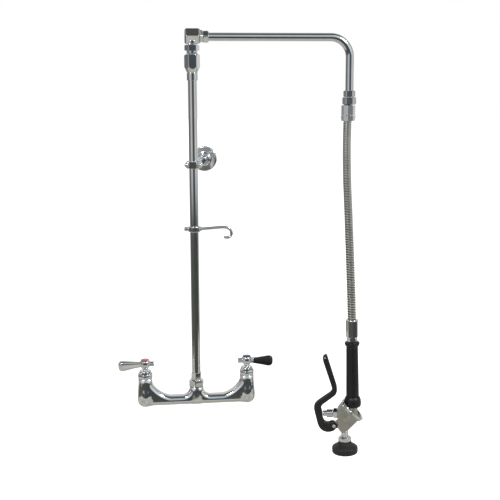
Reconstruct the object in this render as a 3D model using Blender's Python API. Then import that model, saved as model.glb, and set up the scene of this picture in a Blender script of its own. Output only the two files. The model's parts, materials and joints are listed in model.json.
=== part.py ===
"""Wall-mounted pre-rinse faucet: a mixing base with two lever valves, a riser with a
wall bracket and a finger hook, a swinging overhead arm, a flexible steel hose and a
squeeze valve with a round spray head.

X runs along the wall to the right, Y runs into the wall and Z runs up.
The origin is midway between the two inlet nipples, at their rear ends.
Shapes are written in millimetres and stored in metres.
"""

import math

import bmesh
import bpy
from mathutils import Matrix, Vector

MM = 0.001
GAP = 0.3
SEGMENTS = 20
# Castings whose many crossing bores leave slivers with the exact solver.
CASTINGS = ("base_body", "hot_lever", "cold_lever", "spray_body")

# Mixing base
AXIS_Y = -40.0
INLET_SPACING = 203.2
COLUMN_X = INLET_SPACING / 2
BAR_TOP = 9.7
BAR_BOTTOM = -9.5
BAR_DEPTH = 20.0
BAR_EDGE_ROUNDING = 7.0
COLUMN_FOOT_RADIUS = 15.0
COLUMN_NECK_RADIUS = 12.2
COLUMN_TOP = 45.7
FOOT_CORNER_RADIUS = 9.0
BOSS_RADIUS = 12.5
BOSS_TOP = 26.0
INLET_BOSS_RADIUS = 13.0
INLET_BOSS_REAR = -12.0
NIPPLE_RADIUS = 10.4
NIPPLE_BORE = 7.5
NIPPLE_FRONT = -22.0
WATERWAY_RADIUS = 4.6

# Valves, from the column upwards
CARTRIDGE_RADIUS = 7.9
STEM_RADIUS = 4.0
BONNET_RADIUS = 15.4
BONNET_TOP = 60.0
PACKING_RADIUS = 12.0
PACKING_TOP = 63.4
HUB_RADIUS = 10.0
HUB_BOTTOM = 66.0
HUB_TOP = 84.0
LEVER_AXIS_Z = 76.0
LEVER_LENGTH = 53.0
LEVER_DROOP = 3.0
INSERT_START = 13.4
INSERT_END = 44.2
STUB_LENGTH = 17.8
STUB_RADIUS = 5.0
INDEX_RADIUS = 8.0

# Riser and swivel stack
RISER_RADIUS = 8.55
RISER_BORE = 6.35
RISER_FOOT = 16.0
RISER_TOP = 660.0
COLLAR_BOTTOM = 630.0
COLLAR_TOP = 644.4
COLLAR_RADIUS = 10.45
BARREL_TOP = 681.0
BARREL_TAPER_TOP = 656.0
BARREL_CORNER_RADIUS = 15.2
SWIVEL_NUT_BOTTOM = 685.1
SWIVEL_NUT_TOP = 695.8
ELBOW_BOTTOM = 697.1
ELBOW_TOP = 726.4

# Overhead arm
ARM_Z = 711.0
ARM_RADIUS = 7.95
ARM_BORE = 6.6
ARM_REACH = 304.8
ARM_BEND_RADIUS = 38.0
ARM_START_X = 10.4
ARM_END_Z = 600.5

# Hose and squeeze valve
HOSE_RADIUS = 8.7
HOSE_TOP_Z = 551.3
GRIP_FOOT = (321.2, -34.3)
GRIP_LEAN = 1.37
VALVE_YAW = 12.0
HOSE_END_V = 187.7
SPRAY_AXIS_U = -16.8
LEVER_PIVOT = (-38.6, -38.2)
LEVER_WIDTH = 13.0
PLUNGER_V = -12.0

# Wall bracket and hook
BRACKET_YAW = 12.2
BRACKET_Z = 470.0
BRACKET_REACH = 158.0
ROD_RADIUS = 8.55
FLANGE_RADIUS = 26.2
HOOK_Z = 344.9
HOOK_ROD_RADIUS = 3.0

CHROME = ((0.80, 0.81, 0.82, 1.0), 0.08, 1.0)
SATIN_NICKEL = ((0.42, 0.41, 0.38, 1.0), 0.38, 1.0)
STEEL = ((0.62, 0.62, 0.61, 1.0), 0.25, 1.0)
BRASS = ((0.66, 0.50, 0.22, 1.0), 0.30, 1.0)
BLACK_PLASTIC = ((0.012, 0.012, 0.012, 1.0), 0.35, 0.0)
BLACK_RUBBER = ((0.020, 0.020, 0.021, 1.0), 0.60, 0.0)
BLACK_COATING = ((0.016, 0.017, 0.017, 1.0), 0.42, 0.0)
RED = ((0.55, 0.03, 0.04, 1.0), 0.35, 0.0)
BLUE = ((0.03, 0.10, 0.42, 1.0), 0.35, 0.0)

Z_AXIS = Matrix.Identity(4)
X_AXIS = Matrix.Rotation(math.radians(90), 4, "Y")
Y_AXIS = Matrix.Rotation(math.radians(-90), 4, "X")


def clear_scene():
    for obj in list(bpy.data.objects):
        bpy.data.objects.remove(obj, do_unlink=True)


def material_for(name, finish):
    """One Principled material for one sub-part."""
    colour, roughness, metallic = finish
    material = bpy.data.materials.new(name)
    material.use_nodes = True
    shader = material.node_tree.nodes["Principled BSDF"]
    shader.inputs["Base Color"].default_value = colour
    shader.inputs["Roughness"].default_value = roughness
    shader.inputs["Metallic"].default_value = metallic
    return material


def add_object(name, mesh, finish, parent=None, at=(0, 0, 0), turn=Z_AXIS):
    """Adds a mesh as a sub-part. With no finish it is a hidden cutter."""
    obj = bpy.data.objects.new(name, mesh)
    bpy.context.scene.collection.objects.link(obj)
    obj.parent = parent
    obj.matrix_local = Matrix.Translation(Vector(at) * MM) @ turn
    if finish is None:
        obj.hide_render = True
        obj.display_type = "WIRE"
    else:
        mesh.materials.append(material_for(name, finish))
    return obj


def mesh_from(bm, name):
    """Stores a bmesh written in millimetres as a mesh in metres, faces outwards."""
    bmesh.ops.scale(bm, vec=(MM, MM, MM), verts=bm.verts)
    bmesh.ops.remove_doubles(bm, verts=bm.verts, dist=1e-7)
    bmesh.ops.recalc_face_normals(bm, faces=bm.faces)
    mesh = bpy.data.meshes.new(name)
    bm.to_mesh(mesh)
    bm.free()
    mesh.shade_smooth()
    mesh.set_sharp_from_angle(angle=math.radians(35))
    return mesh


def turned(name, profile, finish, segments=SEGMENTS, **place):
    """A lathe part: profile is a loop of (radius, height) about the local Z axis."""
    bm = bmesh.new()
    verts = [bm.verts.new((radius, 0, height)) for radius, height in profile]
    for first, second in zip(verts, verts[1:] + verts[:1]):
        if first.co.x > 0 or second.co.x > 0:
            bm.edges.new((first, second))
    bmesh.ops.spin(
        bm,
        geom=bm.verts[:] + bm.edges[:],
        cent=(0, 0, 0),
        axis=(0, 0, 1),
        angle=math.tau,
        steps=segments,
        use_merge=True,
    )
    return add_object(name, mesh_from(bm, name), finish, **place)


def ring_profile(inner, outer, bottom, top, edge=0.0):
    """The section of a plain ring, with its two outer edges broken by edge."""
    if edge == 0:
        return [(inner, bottom), (outer, bottom), (outer, top), (inner, top)]
    return [
        (inner, bottom),
        (outer - edge, bottom),
        (outer, bottom + edge),
        (outer, top - edge),
        (outer - edge, top),
        (inner, top),
    ]


def rod(name, radius, bottom, top, finish=None, segments=SEGMENTS, **place):
    """A plain cylinder about the local Z axis."""
    profile = [(0, bottom), (radius, bottom), (radius, top), (0, top)]
    return turned(name, profile, finish, segments, **place)


def prism(name, outline, near, far, finish, bevel=0.0, bevel_segments=1, **place):
    """An outline in the local XZ plane, extruded from y = near to y = far."""
    bm = bmesh.new()
    verts = [bm.verts.new((x, near, z)) for x, z in outline]
    face = bm.faces.new(verts)
    grown = bmesh.ops.extrude_face_region(bm, geom=[face])
    moved = [item for item in grown["geom"] if isinstance(item, bmesh.types.BMVert)]
    bmesh.ops.translate(bm, verts=moved, vec=(0, far - near, 0))
    obj = add_object(name, mesh_from(bm, name), finish, **place)
    if bevel:
        add_bevel(obj, bevel, bevel_segments)
    return obj


def add_bevel(obj, width, segments=1, limit=50):
    modifier = obj.modifiers.new("rounded_edges", "BEVEL")
    modifier.width = width * MM
    modifier.segments = segments
    modifier.limit_method = "ANGLE"
    modifier.angle_limit = math.radians(limit)


def combine(obj, other, operation):
    modifier = obj.modifiers.new(other.name, "BOOLEAN")
    modifier.object = other
    modifier.operation = operation
    modifier.solver = "MANIFOLD" if obj.name in CASTINGS else "EXACT"


def drill(obj, radius, bottom, top, segments=SEGMENTS, **place):
    """Cuts a round hole about the local Z axis of the given place."""
    cutter = rod(obj.name + "_hole", radius, bottom, top, None, segments, **place)
    combine(obj, cutter, "DIFFERENCE")


def polygon_points(sides, radius, start_angle=0.0):
    step = math.tau / sides
    return [
        (radius * math.cos(start_angle + i * step), radius * math.sin(start_angle + i * step))
        for i in range(sides)
    ]


def hex_nut(name, corner_radius, bottom, top, bore, finish, edge=1.2, **place):
    """A hexagon about the local Z axis, with broken edges and a round bore."""
    bm = bmesh.new()
    verts = [bm.verts.new((x, y, bottom)) for x, y in polygon_points(6, corner_radius)]
    face = bm.faces.new(verts)
    grown = bmesh.ops.extrude_face_region(bm, geom=[face])
    moved = [item for item in grown["geom"] if isinstance(item, bmesh.types.BMVert)]
    bmesh.ops.translate(bm, verts=moved, vec=(0, 0, top - bottom))
    obj = add_object(name, mesh_from(bm, name), finish, **place)
    add_bevel(obj, edge)
    drill(obj, bore, bottom - 5, top + 5, **place)
    return obj


def tube_along(name, path, outer, inner, finish, segments=16, **place):
    """A tube swept along points in the local XZ plane. An inner radius of 0 makes a rod."""
    bm = bmesh.new()
    rings = []
    for index, point in enumerate(path):
        before = Vector(path[max(index - 1, 0)])
        after = Vector(path[min(index + 1, len(path) - 1)])
        along = (after - before).normalized()
        side = Vector((-along.y, along.x))
        rings.append([tube_ring(bm, point, side, radius, segments) for radius in (outer, inner) if radius])
    for layer in range(len(rings[0])):
        for first, second in zip(rings, rings[1:]):
            bridge(bm, first[layer], second[layer])
    for end in (rings[0], rings[-1]):
        if inner:
            bridge(bm, end[0], end[1])
        else:
            bm.faces.new(end[0])
    return add_object(name, mesh_from(bm, name), finish, **place)


def tube_ring(bm, point, side, radius, segments):
    ring = []
    for i in range(segments):
        angle = math.tau * i / segments
        in_plane = radius * math.cos(angle)
        ring.append(
            bm.verts.new(
                (point[0] + side.x * in_plane, radius * math.sin(angle), point[1] + side.y * in_plane)
            )
        )
    return ring


def bridge(bm, first, second):
    count = len(first)
    for i in range(count):
        j = (i + 1) % count
        bm.faces.new((first[i], first[j], second[j], second[i]))


def arc(centre, radius, start, end, steps):
    """Points of an arc, with its angles in degrees."""
    points = []
    for i in range(steps + 1):
        angle = math.radians(start + (end - start) * i / steps)
        points.append((centre[0] + radius * math.cos(angle), centre[1] + radius * math.sin(angle)))
    return points


def smooth_path(points, count):
    """Evenly numbered points on a Catmull-Rom curve through the given ones."""
    control = [points[0]] + list(points) + [points[-1]]
    spans = len(points) - 1
    path = []
    for i in range(count):
        place = spans * i / (count - 1)
        span = min(int(place), spans - 1)
        t = place - span
        p0, p1, p2, p3 = (Vector(p) for p in control[span : span + 4])
        path.append(
            0.5
            * (
                2 * p1
                + (p2 - p0) * t
                + (2 * p0 - 5 * p1 + 4 * p2 - p3) * t**2
                + (3 * p1 - p0 - 3 * p2 + p3) * t**3
            )
        )
    return path


# ---------------------------------------------------------------- mixing base


def hollow_corner(wall, floor, fullness, steps=5):
    """A concave corner that leaves an upright wall and runs into a level floor."""
    points = []
    for i in range(steps + 1):
        angle = math.pi / 2 * i / steps
        across = math.cos(angle) ** (2 / fullness)
        down = math.sin(angle) ** (2 / fullness)
        points.append((floor[0] + (wall[0] - floor[0]) * across, wall[1] + (floor[1] - wall[1]) * down))
    return points


def base_outline():
    """The front outline of the casting: a bar, two end columns and a middle boss."""
    outer = COLUMN_X + COLUMN_FOOT_RADIUS
    corner = (outer - FOOT_CORNER_RADIUS, BAR_BOTTOM + FOOT_CORNER_RADIUS)
    neck_out = COLUMN_X + COLUMN_NECK_RADIUS
    neck_in = COLUMN_X - COLUMN_NECK_RADIUS
    right = arc(corner, FOOT_CORNER_RADIUS, -90, 0, 3)
    right += [(outer, 9), (neck_out, 40), (neck_out, COLUMN_TOP), (neck_in, COLUMN_TOP)]
    right += hollow_corner((neck_in, 40), (52, BAR_TOP), 1.5)
    right += reversed(hollow_corner((BOSS_RADIUS, 24), (27, BAR_TOP), 1.8))
    right += [(BOSS_RADIUS, BOSS_TOP)]
    left = [(-x, z) for x, z in reversed(right)]
    return right + left


def make_base():
    on_axis = {"at": (0, AXIS_Y, 0)}
    base = prism(
        "base_body",
        base_outline(),
        -BAR_DEPTH / 2,
        BAR_DEPTH / 2,
        CHROME,
        BAR_EDGE_ROUNDING,
        1,
        **on_axis,
    )
    for side in (-1, 1):
        column_at = {"at": (side * COLUMN_X, AXIS_Y, 0)}
        column = [
            (0, -9.2),
            (9, -9.2),
            (COLUMN_FOOT_RADIUS, -1),
            (COLUMN_FOOT_RADIUS, 10),
            (COLUMN_NECK_RADIUS, 40),
            (COLUMN_NECK_RADIUS, COLUMN_TOP),
            (0, COLUMN_TOP),
        ]
        combine(base, turned("column_solid", column, None, **column_at), "UNION")
        rear_at = {"at": (side * COLUMN_X, 0, 0), "turn": Y_AXIS}
        boss = rod("inlet_solid", INLET_BOSS_RADIUS, AXIS_Y, INLET_BOSS_REAR, **rear_at)
        combine(base, boss, "UNION")
    middle = [(0, -5), (15, -5), (BOSS_RADIUS, 20), (BOSS_RADIUS, BOSS_TOP), (0, BOSS_TOP)]
    combine(base, turned("boss_solid", middle, None, **on_axis), "UNION")
    for side in (-1, 1):
        column_at = {"at": (side * COLUMN_X, AXIS_Y, 0)}
        rear_at = {"at": (side * COLUMN_X, 0, 0), "turn": Y_AXIS}
        drill(base, CARTRIDGE_RADIUS + GAP, 14, COLUMN_TOP + 5, **column_at)
        drill(base, WATERWAY_RADIUS, -1, 18, 16, **column_at)
        drill(base, NIPPLE_BORE, AXIS_Y + 1, -5, 16, **rear_at)
        drill(base, NIPPLE_RADIUS + GAP, NIPPLE_FRONT - GAP, -5, **rear_at)
    across = {"at": (0, AXIS_Y, 0), "turn": X_AXIS}
    drill(base, WATERWAY_RADIUS, -COLUMN_X, COLUMN_X, 16, **across)
    drill(base, RISER_RADIUS + GAP, RISER_FOOT - GAP, BOSS_TOP + 5, **on_axis)
    drill(base, WATERWAY_RADIUS + 0.8, -1, RISER_FOOT + 2, 16, **on_axis)


def make_outlet_fittings():
    on_axis = {"at": (0, AXIS_Y, 0)}
    bore = RISER_RADIUS + GAP
    turned("outlet_washer", ring_profile(bore, 12.2, 26.3, 27.7), BLACK_RUBBER, **on_axis)
    hex_nut("outlet_nut", 15.8, 28.0, 40.2, bore, CHROME, 2.0, **on_axis)
    hex_nut("riser_nut", 10.9, 40.5, 54.8, bore, CHROME, 0.8, **on_axis)


# --------------------------------------------------------------------- valves


def lever_cone(name, shrink, finish, parent):
    """The tapered, flattened handle along local +X, from the hub to its domed end."""
    profile = [
        (0, 4.0),
        (5.6 - shrink, 4.0),
        (5.8 - shrink, 12.0),
        (8.6 - shrink, 30.0),
        (10.9 - shrink, INSERT_END + 2),
        (10.9 - shrink, LEVER_LENGTH - 4 - shrink),
        (8.8 - shrink, LEVER_LENGTH - 1 - shrink),
        (0, LEVER_LENGTH - shrink),
    ]
    flatten = Matrix.Diagonal((1.0, 0.72, 1.0, 1.0))
    droop = Matrix.Rotation(math.radians(LEVER_DROOP), 4, "Y")
    obj = turned(name, profile, finish, parent=parent)
    obj.data.transform(flatten @ droop @ X_AXIS)
    return obj


def insert_pocket(name, clearance, parent):
    """The block that holds the front side of the handle, where the insert sits."""
    outline = [
        (INSERT_START - clearance, -20),
        (INSERT_END + clearance, -20),
        (INSERT_END + clearance, 20),
        (INSERT_START - clearance, 20),
    ]
    return prism(name, outline, -20, clearance - 2.6, None, parent=parent)


def make_valve(side, temperature, index_finish):
    """One valve. The handle's frame turns about the stem, with local +X along the lever."""
    axis_at = {"at": (side * COLUMN_X, AXIS_Y, 0)}
    bore = STEM_RADIUS + 0.25
    nipple = ring_profile(NIPPLE_BORE, NIPPLE_RADIUS, NIPPLE_FRONT, 0)
    rear_at = {"at": (side * COLUMN_X, 0, 0), "turn": Y_AXIS}
    turned(temperature + "_inlet_nipple", nipple, CHROME, **rear_at)
    cartridge = [
        (bore, 16),
        (CARTRIDGE_RADIUS, 16),
        (CARTRIDGE_RADIUS, 46),
        (11.5, 46),
        (11.5, 48.6),
        (6.0, 48.6),
        (6.0, BONNET_TOP - GAP),
        (bore, BONNET_TOP - GAP),
    ]
    turned(temperature + "_cartridge", cartridge, BRASS, **axis_at)
    bonnet = [
        (11.9, 46.2),
        (13.2, 46.2),
        (BONNET_RADIUS, 49.5),
        (BONNET_RADIUS, 55.0),
        (12.6, BONNET_TOP),
        (6.3, BONNET_TOP),
        (6.3, 48.9),
        (11.9, 48.9),
    ]
    turned(temperature + "_bonnet_nut", bonnet, CHROME, **axis_at)
    packing = ring_profile(bore, PACKING_RADIUS, BONNET_TOP + GAP, PACKING_TOP, 1.0)
    turned(temperature + "_packing_nut", packing, CHROME, **axis_at)

    pivot = bpy.data.objects.new(temperature + "_valve_axis", None)
    bpy.context.scene.collection.objects.link(pivot)
    facing = Matrix.Rotation(math.pi if side < 0 else 0.0, 4, "Z")
    pivot.matrix_world = Matrix.Translation(Vector(axis_at["at"]) * MM) @ facing
    on_pivot = {"parent": pivot}
    stem = [(0, 17), (STEM_RADIUS, 17), (STEM_RADIUS, 80), (0, 80)]
    turned(temperature + "_stem", stem, BRASS, 16, **on_pivot)

    hub = [
        (0, HUB_BOTTOM),
        (8.2, HUB_BOTTOM),
        (HUB_RADIUS, HUB_BOTTOM + 3),
        (HUB_RADIUS, HUB_TOP - 3),
        (HUB_RADIUS - 1.2, HUB_TOP),
        (0, HUB_TOP),
    ]
    lever = turned(temperature + "_lever", hub, CHROME, **on_pivot)
    handle = lever_cone("handle_solid", 0.0, None, pivot)
    handle.location.z = LEVER_AXIS_Z * MM
    combine(lever, handle, "UNION")
    stub = rod("stub_solid", STUB_RADIUS, -STUB_LENGTH, 0, None, 16, parent=pivot)
    stub.data.transform(X_AXIS)
    stub.location.z = LEVER_AXIS_Z * MM
    combine(lever, stub, "UNION")
    pocket = insert_pocket("pocket_solid", GAP, pivot)
    pocket.location.z = LEVER_AXIS_Z * MM
    combine(lever, pocket, "DIFFERENCE")
    drill(lever, STEM_RADIUS + 0.25, HUB_BOTTOM - 2, 80.4, **on_pivot)

    insert = lever_cone(temperature + "_lever_insert", 0.2, BLACK_PLASTIC, pivot)
    insert.location.z = LEVER_AXIS_Z * MM
    bed = insert_pocket("insert_solid", 0.0, pivot)
    bed.location.z = LEVER_AXIS_Z * MM
    combine(insert, bed, "INTERSECT")
    button = [(0, 0), (INDEX_RADIUS, 0), (INDEX_RADIUS - 0.6, 1.4), (0, 2.0)]
    index = turned(temperature + "_index", button, index_finish, parent=pivot)
    index.location.z = (HUB_TOP + GAP) * MM


# ------------------------------------------------------- riser, swivel and arm


def make_riser():
    on_axis = {"at": (0, AXIS_Y, 0)}
    pipe = ring_profile(RISER_BORE, RISER_RADIUS, RISER_FOOT, RISER_TOP)
    turned("riser", pipe, CHROME, **on_axis)
    bore = RISER_RADIUS + GAP
    collar = ring_profile(bore, COLLAR_RADIUS, COLLAR_BOTTOM, COLLAR_TOP - GAP, 0.5)
    turned("riser_collar", collar, CHROME, **on_axis)


def make_swivel():
    """The fixed barrel and, inside it, the stem that the arm turns with."""
    on_axis = {"at": (0, AXIS_Y, 0)}
    bore = RISER_RADIUS + GAP
    size = (BARREL_CORNER_RADIUS, COLLAR_TOP, BARREL_TOP, bore)
    barrel = hex_nut("swivel_barrel", *size, CHROME, 1.0, **on_axis)
    taper = [
        (0, COLLAR_TOP - 1),
        (10.3, COLLAR_TOP - 1),
        (10.3, COLLAR_TOP + 1),
        (BARREL_CORNER_RADIUS + 0.6, BARREL_TAPER_TOP),
        (BARREL_CORNER_RADIUS + 0.6, BARREL_TOP + 1),
        (0, BARREL_TOP + 1),
    ]
    combine(barrel, turned("taper_solid", taper, None, **on_axis), "INTERSECT")
    stem = [
        (4.6, 661.0),
        (8.45, 661.0),
        (8.45, 668.0),
        (7.2, 668.0),
        (7.2, 671.0),
        (8.45, 671.0),
        (8.45, BARREL_TOP + GAP),
        (10.3, BARREL_TOP + GAP),
        (10.3, SWIVEL_NUT_BOTTOM - GAP),
        (7.4, SWIVEL_NUT_BOTTOM - GAP),
        (7.4, 703.0),
        (4.6, 703.0),
    ]
    turned("swivel_stem", stem, CHROME, **on_axis)
    turned("swivel_oring", ring_profile(7.5, 8.5, 668.4, 670.6, 0.3), BLACK_RUBBER, **on_axis)
    hex_nut("swivel_nut", 14.4, SWIVEL_NUT_BOTTOM, SWIVEL_NUT_TOP, 7.7, CHROME, 1.2, **on_axis)


def make_elbow():
    """A hexagonal elbow: the upright leg on the swivel stem, the level leg on the arm."""
    outline = [
        (-13.6, ELBOW_BOTTOM),
        (12.6, ELBOW_BOTTOM),
        (14.6, 700.0),
        (20.2, 702.0),
        (20.2, 720.0),
        (14.6, 723.6),
        (12.6, ELBOW_TOP),
        (-5.0, ELBOW_TOP),
        (-13.6, 718.0),
    ]
    at = (0, AXIS_Y, 0)
    elbow = prism("elbow", outline, -12.2, 12.2, CHROME, 3.2, 1, at=at)
    drill(elbow, 7.7, ELBOW_BOTTOM - 2, 704.0, at=at)
    drill(elbow, 4.6, 700, 712, 16, at=at)
    level = {"at": (0, AXIS_Y, ARM_Z), "turn": X_AXIS}
    drill(elbow, ARM_RADIUS + GAP, 10, 30, **level)
    drill(elbow, 4.6, 0, 14, 16, **level)
    hex_nut("arm_nut", 12.4, 20.6, 31.6, ARM_RADIUS + GAP, CHROME, 1.2, **level)


def make_arm():
    level_end = ARM_REACH - ARM_BEND_RADIUS
    centre = (level_end, ARM_Z - ARM_BEND_RADIUS)
    path = [(ARM_START_X, ARM_Z)]
    path += arc(centre, ARM_BEND_RADIUS, 90, 0, 8)
    path += [(ARM_REACH, ARM_END_Z)]
    tube_along("arm_tube", path, ARM_RADIUS, ARM_BORE, CHROME, SEGMENTS, at=(0, AXIS_Y, 0))
    below = {"at": (ARM_REACH, AXIS_Y, 0)}
    hex_nut("drop_nut", 11.9, 597.6, 609.8, ARM_RADIUS + GAP, CHROME, 1.0, **below)
    hex_nut("drop_adapter", 13.8, 583.2, 597.2, 5.2, CHROME, 1.4, **below)
    coupling_at = {"at": (ARM_REACH - 1.6, AXIS_Y, 0)}
    coupling = hex_nut("hose_coupling", 14.0, 551.6, 581.8, 5.2, CHROME, 1.4, **coupling_at)
    drill(coupling, 9.6, 577.5, 585, **coupling_at)
    gasket = ring_profile(5.4, 9.2, 577.9, 582.9)
    turned("hose_gasket", gasket, BLACK_RUBBER, **coupling_at)


# ------------------------------------------------------------------ hose, grip


def grip_frame():
    """The frame of the grip: local +Z up the grip, from the foot of its lower collar."""
    lean = Matrix.Rotation(math.radians(-GRIP_LEAN), 4, "Y")
    yaw = Matrix.Rotation(math.radians(-VALVE_YAW), 4, "Z")
    place = Matrix.Translation(Vector((GRIP_FOOT[0], AXIS_Y, GRIP_FOOT[1])) * MM)
    frame = bpy.data.objects.new("grip_axis", None)
    bpy.context.scene.collection.objects.link(frame)
    frame.matrix_world = place @ lean @ yaw
    return frame


def hose_route():
    """The hose hangs from the coupling to the ferrule in one slack, slightly bent line."""
    lean = math.radians(GRIP_LEAN)
    end = (
        GRIP_FOOT[0] - HOSE_END_V * math.sin(lean),
        GRIP_FOOT[1] + HOSE_END_V * math.cos(lean),
    )
    return [
        (301.9, HOSE_TOP_Z),
        (301.6, 530.0),
        (301.4, 508.0),
        (301.6, 484.0),
        (302.2, 460.0),
        (303.1, 434.0),
        (304.4, 408.0),
        (305.8, 384.0),
        (307.1, 360.0),
        (308.3, 336.0),
        (309.5, 312.0),
        (310.7, 288.0),
        (311.9, 264.0),
        (313.0, 240.0),
        (314.2, 216.0),
        (315.3, 192.0),
        end,
    ]


def make_hose():
    curve = bpy.data.curves.new("hose", "CURVE")
    curve.dimensions = "3D"
    curve.bevel_depth = HOSE_RADIUS * MM
    curve.bevel_resolution = 3
    curve.use_fill_caps = True
    points = smooth_path(hose_route(), 12)
    spline = curve.splines.new("POLY")
    spline.points.add(len(points) - 1)
    for slot, point in zip(spline.points, points):
        slot.co = (point.x * MM, AXIS_Y * MM, point.y * MM, 1.0)
    curve.materials.append(material_for("hose", STEEL))
    obj = bpy.data.objects.new("hose", curve)
    bpy.context.scene.collection.objects.link(obj)


def make_grip(frame):
    inner_bore = 6.9
    ferrule = [
        (5.2, 151.2),
        (12.1, 151.2),
        (12.2, 152.0),
        (12.2, 183.5),
        (11.6, 184.4),
        (12.3, 185.2),
        (12.3, HOSE_END_V - GAP),
        (5.2, HOSE_END_V - GAP),
    ]
    turned("hose_ferrule", ferrule, CHROME, parent=frame)
    turned("ferrule_nut", ring_profile(inner_bore, 10.3, 141.6, 150.9, 0.6), CHROME, parent=frame)
    turned("grip_ring", ring_profile(inner_bore, 15.3, 131.0, 141.3, 2.2), BLACK_PLASTIC, parent=frame)
    grip = [(inner_bore, 25.0), (13.1, 25.0), (12.7, 60), (12.0, 130.7), (inner_bore, 130.7)]
    turned("grip", grip, BLACK_RUBBER, parent=frame)
    collar = [
        (inner_bore, 3.2),
        (15.6, 3.2),
        (17.0, 5.6),
        (17.4, 12.0),
        (16.2, 19.5),
        (13.6, 24.7),
        (inner_bore, 24.7),
    ]
    turned("grip_collar", collar, BLACK_PLASTIC, parent=frame)
    turned("grip_tube", ring_profile(4.8, 6.6, -11.5, 150.8), BRASS, 16, parent=frame)


# ---------------------------------------------------------------- spray valve


def oblique(frame_point):
    """The place of a part whose axis rises to the right at 45 degrees in the grip frame."""
    turn = Matrix.Rotation(math.radians(45), 4, "Y")
    return {"at": (frame_point[0], 0, frame_point[1]), "turn": turn}


def make_spray_body(frame):
    """The valve casting: a rounded block behind an oblique seat, with the inlet above it."""
    outline = [
        (-31.0, -3.0),
        (-20.5, 11.0),
        (13.0, -25.0),
        (-9.0, -47.8),
        (-12.0, -50.2),
        (-22.0, -50.2),
        (-31.0, -41.0),
    ]
    body = prism("spray_body", outline, -15, 15, SATIN_NICKEL, 5.5, 2, parent=frame)
    seat_place = oblique((-2.2, -6.2))
    seat = [(0, -22), (16, -22), (17, -7), (27.0, -3.6), (27.0, 0), (0, 0)]
    combine(body, turned("seat_solid", seat, None, 28, parent=frame, **seat_place), "UNION")
    port = {"parent": frame, "at": (0, 0, PLUNGER_V), "turn": X_AXIS}
    combine(body, rod("port_solid", 11.0, -31.5, -20, **port), "UNION")
    drill(body, 18.2, -GAP, 30, 24, parent=frame)
    pin_hole = {"parent": frame, "at": (LEVER_PIVOT[0], 0, LEVER_PIVOT[1]), "turn": Y_AXIS}
    combine(body, rod("ear_solid", 6.8, -3.2, 3.2, None, 16, **pin_hole), "UNION")
    web = [(-40, -32), (-29, -24), (-29, -44), (-39, -44.6)]
    combine(body, prism("web_solid", web, -3.1, 3.1, None, parent=frame), "UNION")
    drill(body, 2.1, -20, 20, 12, **pin_hole)
    drill(body, 6.9, -11.8, 5, 16, parent=frame)
    drill(body, 4.4, -16, 2, 12, parent=frame)
    drill(body, 7.5, -34, -18, 16, **port)
    drill(body, 4.2, -20, 2.2, 12, **port)
    nozzle = {"parent": frame, "at": (SPRAY_AXIS_U, 0, 0)}
    drill(body, 5.0, -53, -8, 12, **nozzle)
    hoop = ring_profile(25.7, 28.7, GAP, 4.7, 0.7)
    turned("spray_ring", hoop, CHROME, 28, parent=frame, **seat_place)


def make_spray_valve(frame):
    port = {"parent": frame, "at": (0, 0, PLUNGER_V), "turn": X_AXIS}
    bonnet = [
        (6.2, -53.4),
        (7.8, -53.4),
        (8.5, -52.6),
        (8.5, -40.2),
        (11.1, -39.2),
        (11.1, -31.8),
        (7.2, -31.8),
        (7.2, -22.0),
        (6.2, -22.0),
    ]
    turned("valve_bonnet", bonnet, CHROME, **port)
    plunger = [
        (0, -61.6),
        (4.0, -61.6),
        (5.9, -59.8),
        (5.9, -31.0),
        (2.2, -30.6),
        (2.2, -19.0),
        (0, -19.0),
    ]
    turned("plunger", plunger, CHROME, **port)
    make_spring(frame)
    nozzle = {"parent": frame, "at": (SPRAY_AXIS_U, 0, 0)}
    neck = ring_profile(4.6, 7.3, -61.6, -50.5)
    turned("spray_neck", neck, CHROME, **nozzle)
    hex_nut("spray_nut", 13.9, -71.6, -61.9, 4.6, CHROME, 1.2, **nozzle)
    bumper = [
        (5.0, -71.9),
        (12.6, -71.9),
        (13.7, -73.0),
        (13.7, -76.2),
        (25.4, -83.6),
        (26.7, -85.4),
        (26.7, -95.0),
        (25.2, -97.0),
        (20.4, -97.0),
        (20.4, -90.0),
        (5.0, -90.0),
    ]
    turned("spray_bumper", bumper, BLACK_RUBBER, 24, **nozzle)
    face = [(0, -94.6), (19.4, -94.6), (20.1, -93.6), (20.1, -90.3), (0, -90.3)]
    turned("spray_face", face, BLACK_PLASTIC, 24, **nozzle)


def make_spring(frame):
    """The return spring, wound round the plunger's rod inside the body's port."""
    turns = 4
    steps = 8
    wire = 0.55
    coil_radius = 3.5
    start = -29.8
    pitch = (9.8 - 2 * wire) / turns
    curve = bpy.data.curves.new("plunger_spring", "CURVE")
    curve.dimensions = "3D"
    curve.bevel_depth = wire * MM
    curve.bevel_resolution = 0
    curve.use_fill_caps = True
    spline = curve.splines.new("POLY")
    spline.points.add(turns * steps)
    for i, slot in enumerate(spline.points):
        angle = math.tau * i / steps
        slot.co = (
            (start + wire + pitch * i / steps) * MM,
            coil_radius * math.cos(angle) * MM,
            coil_radius * math.sin(angle) * MM,
            1.0,
        )
    curve.materials.append(material_for("plunger_spring", STEEL))
    spring = bpy.data.objects.new("plunger_spring", curve)
    bpy.context.scene.collection.objects.link(spring)
    spring.parent = frame
    spring.location.z = PLUNGER_V * MM


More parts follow.
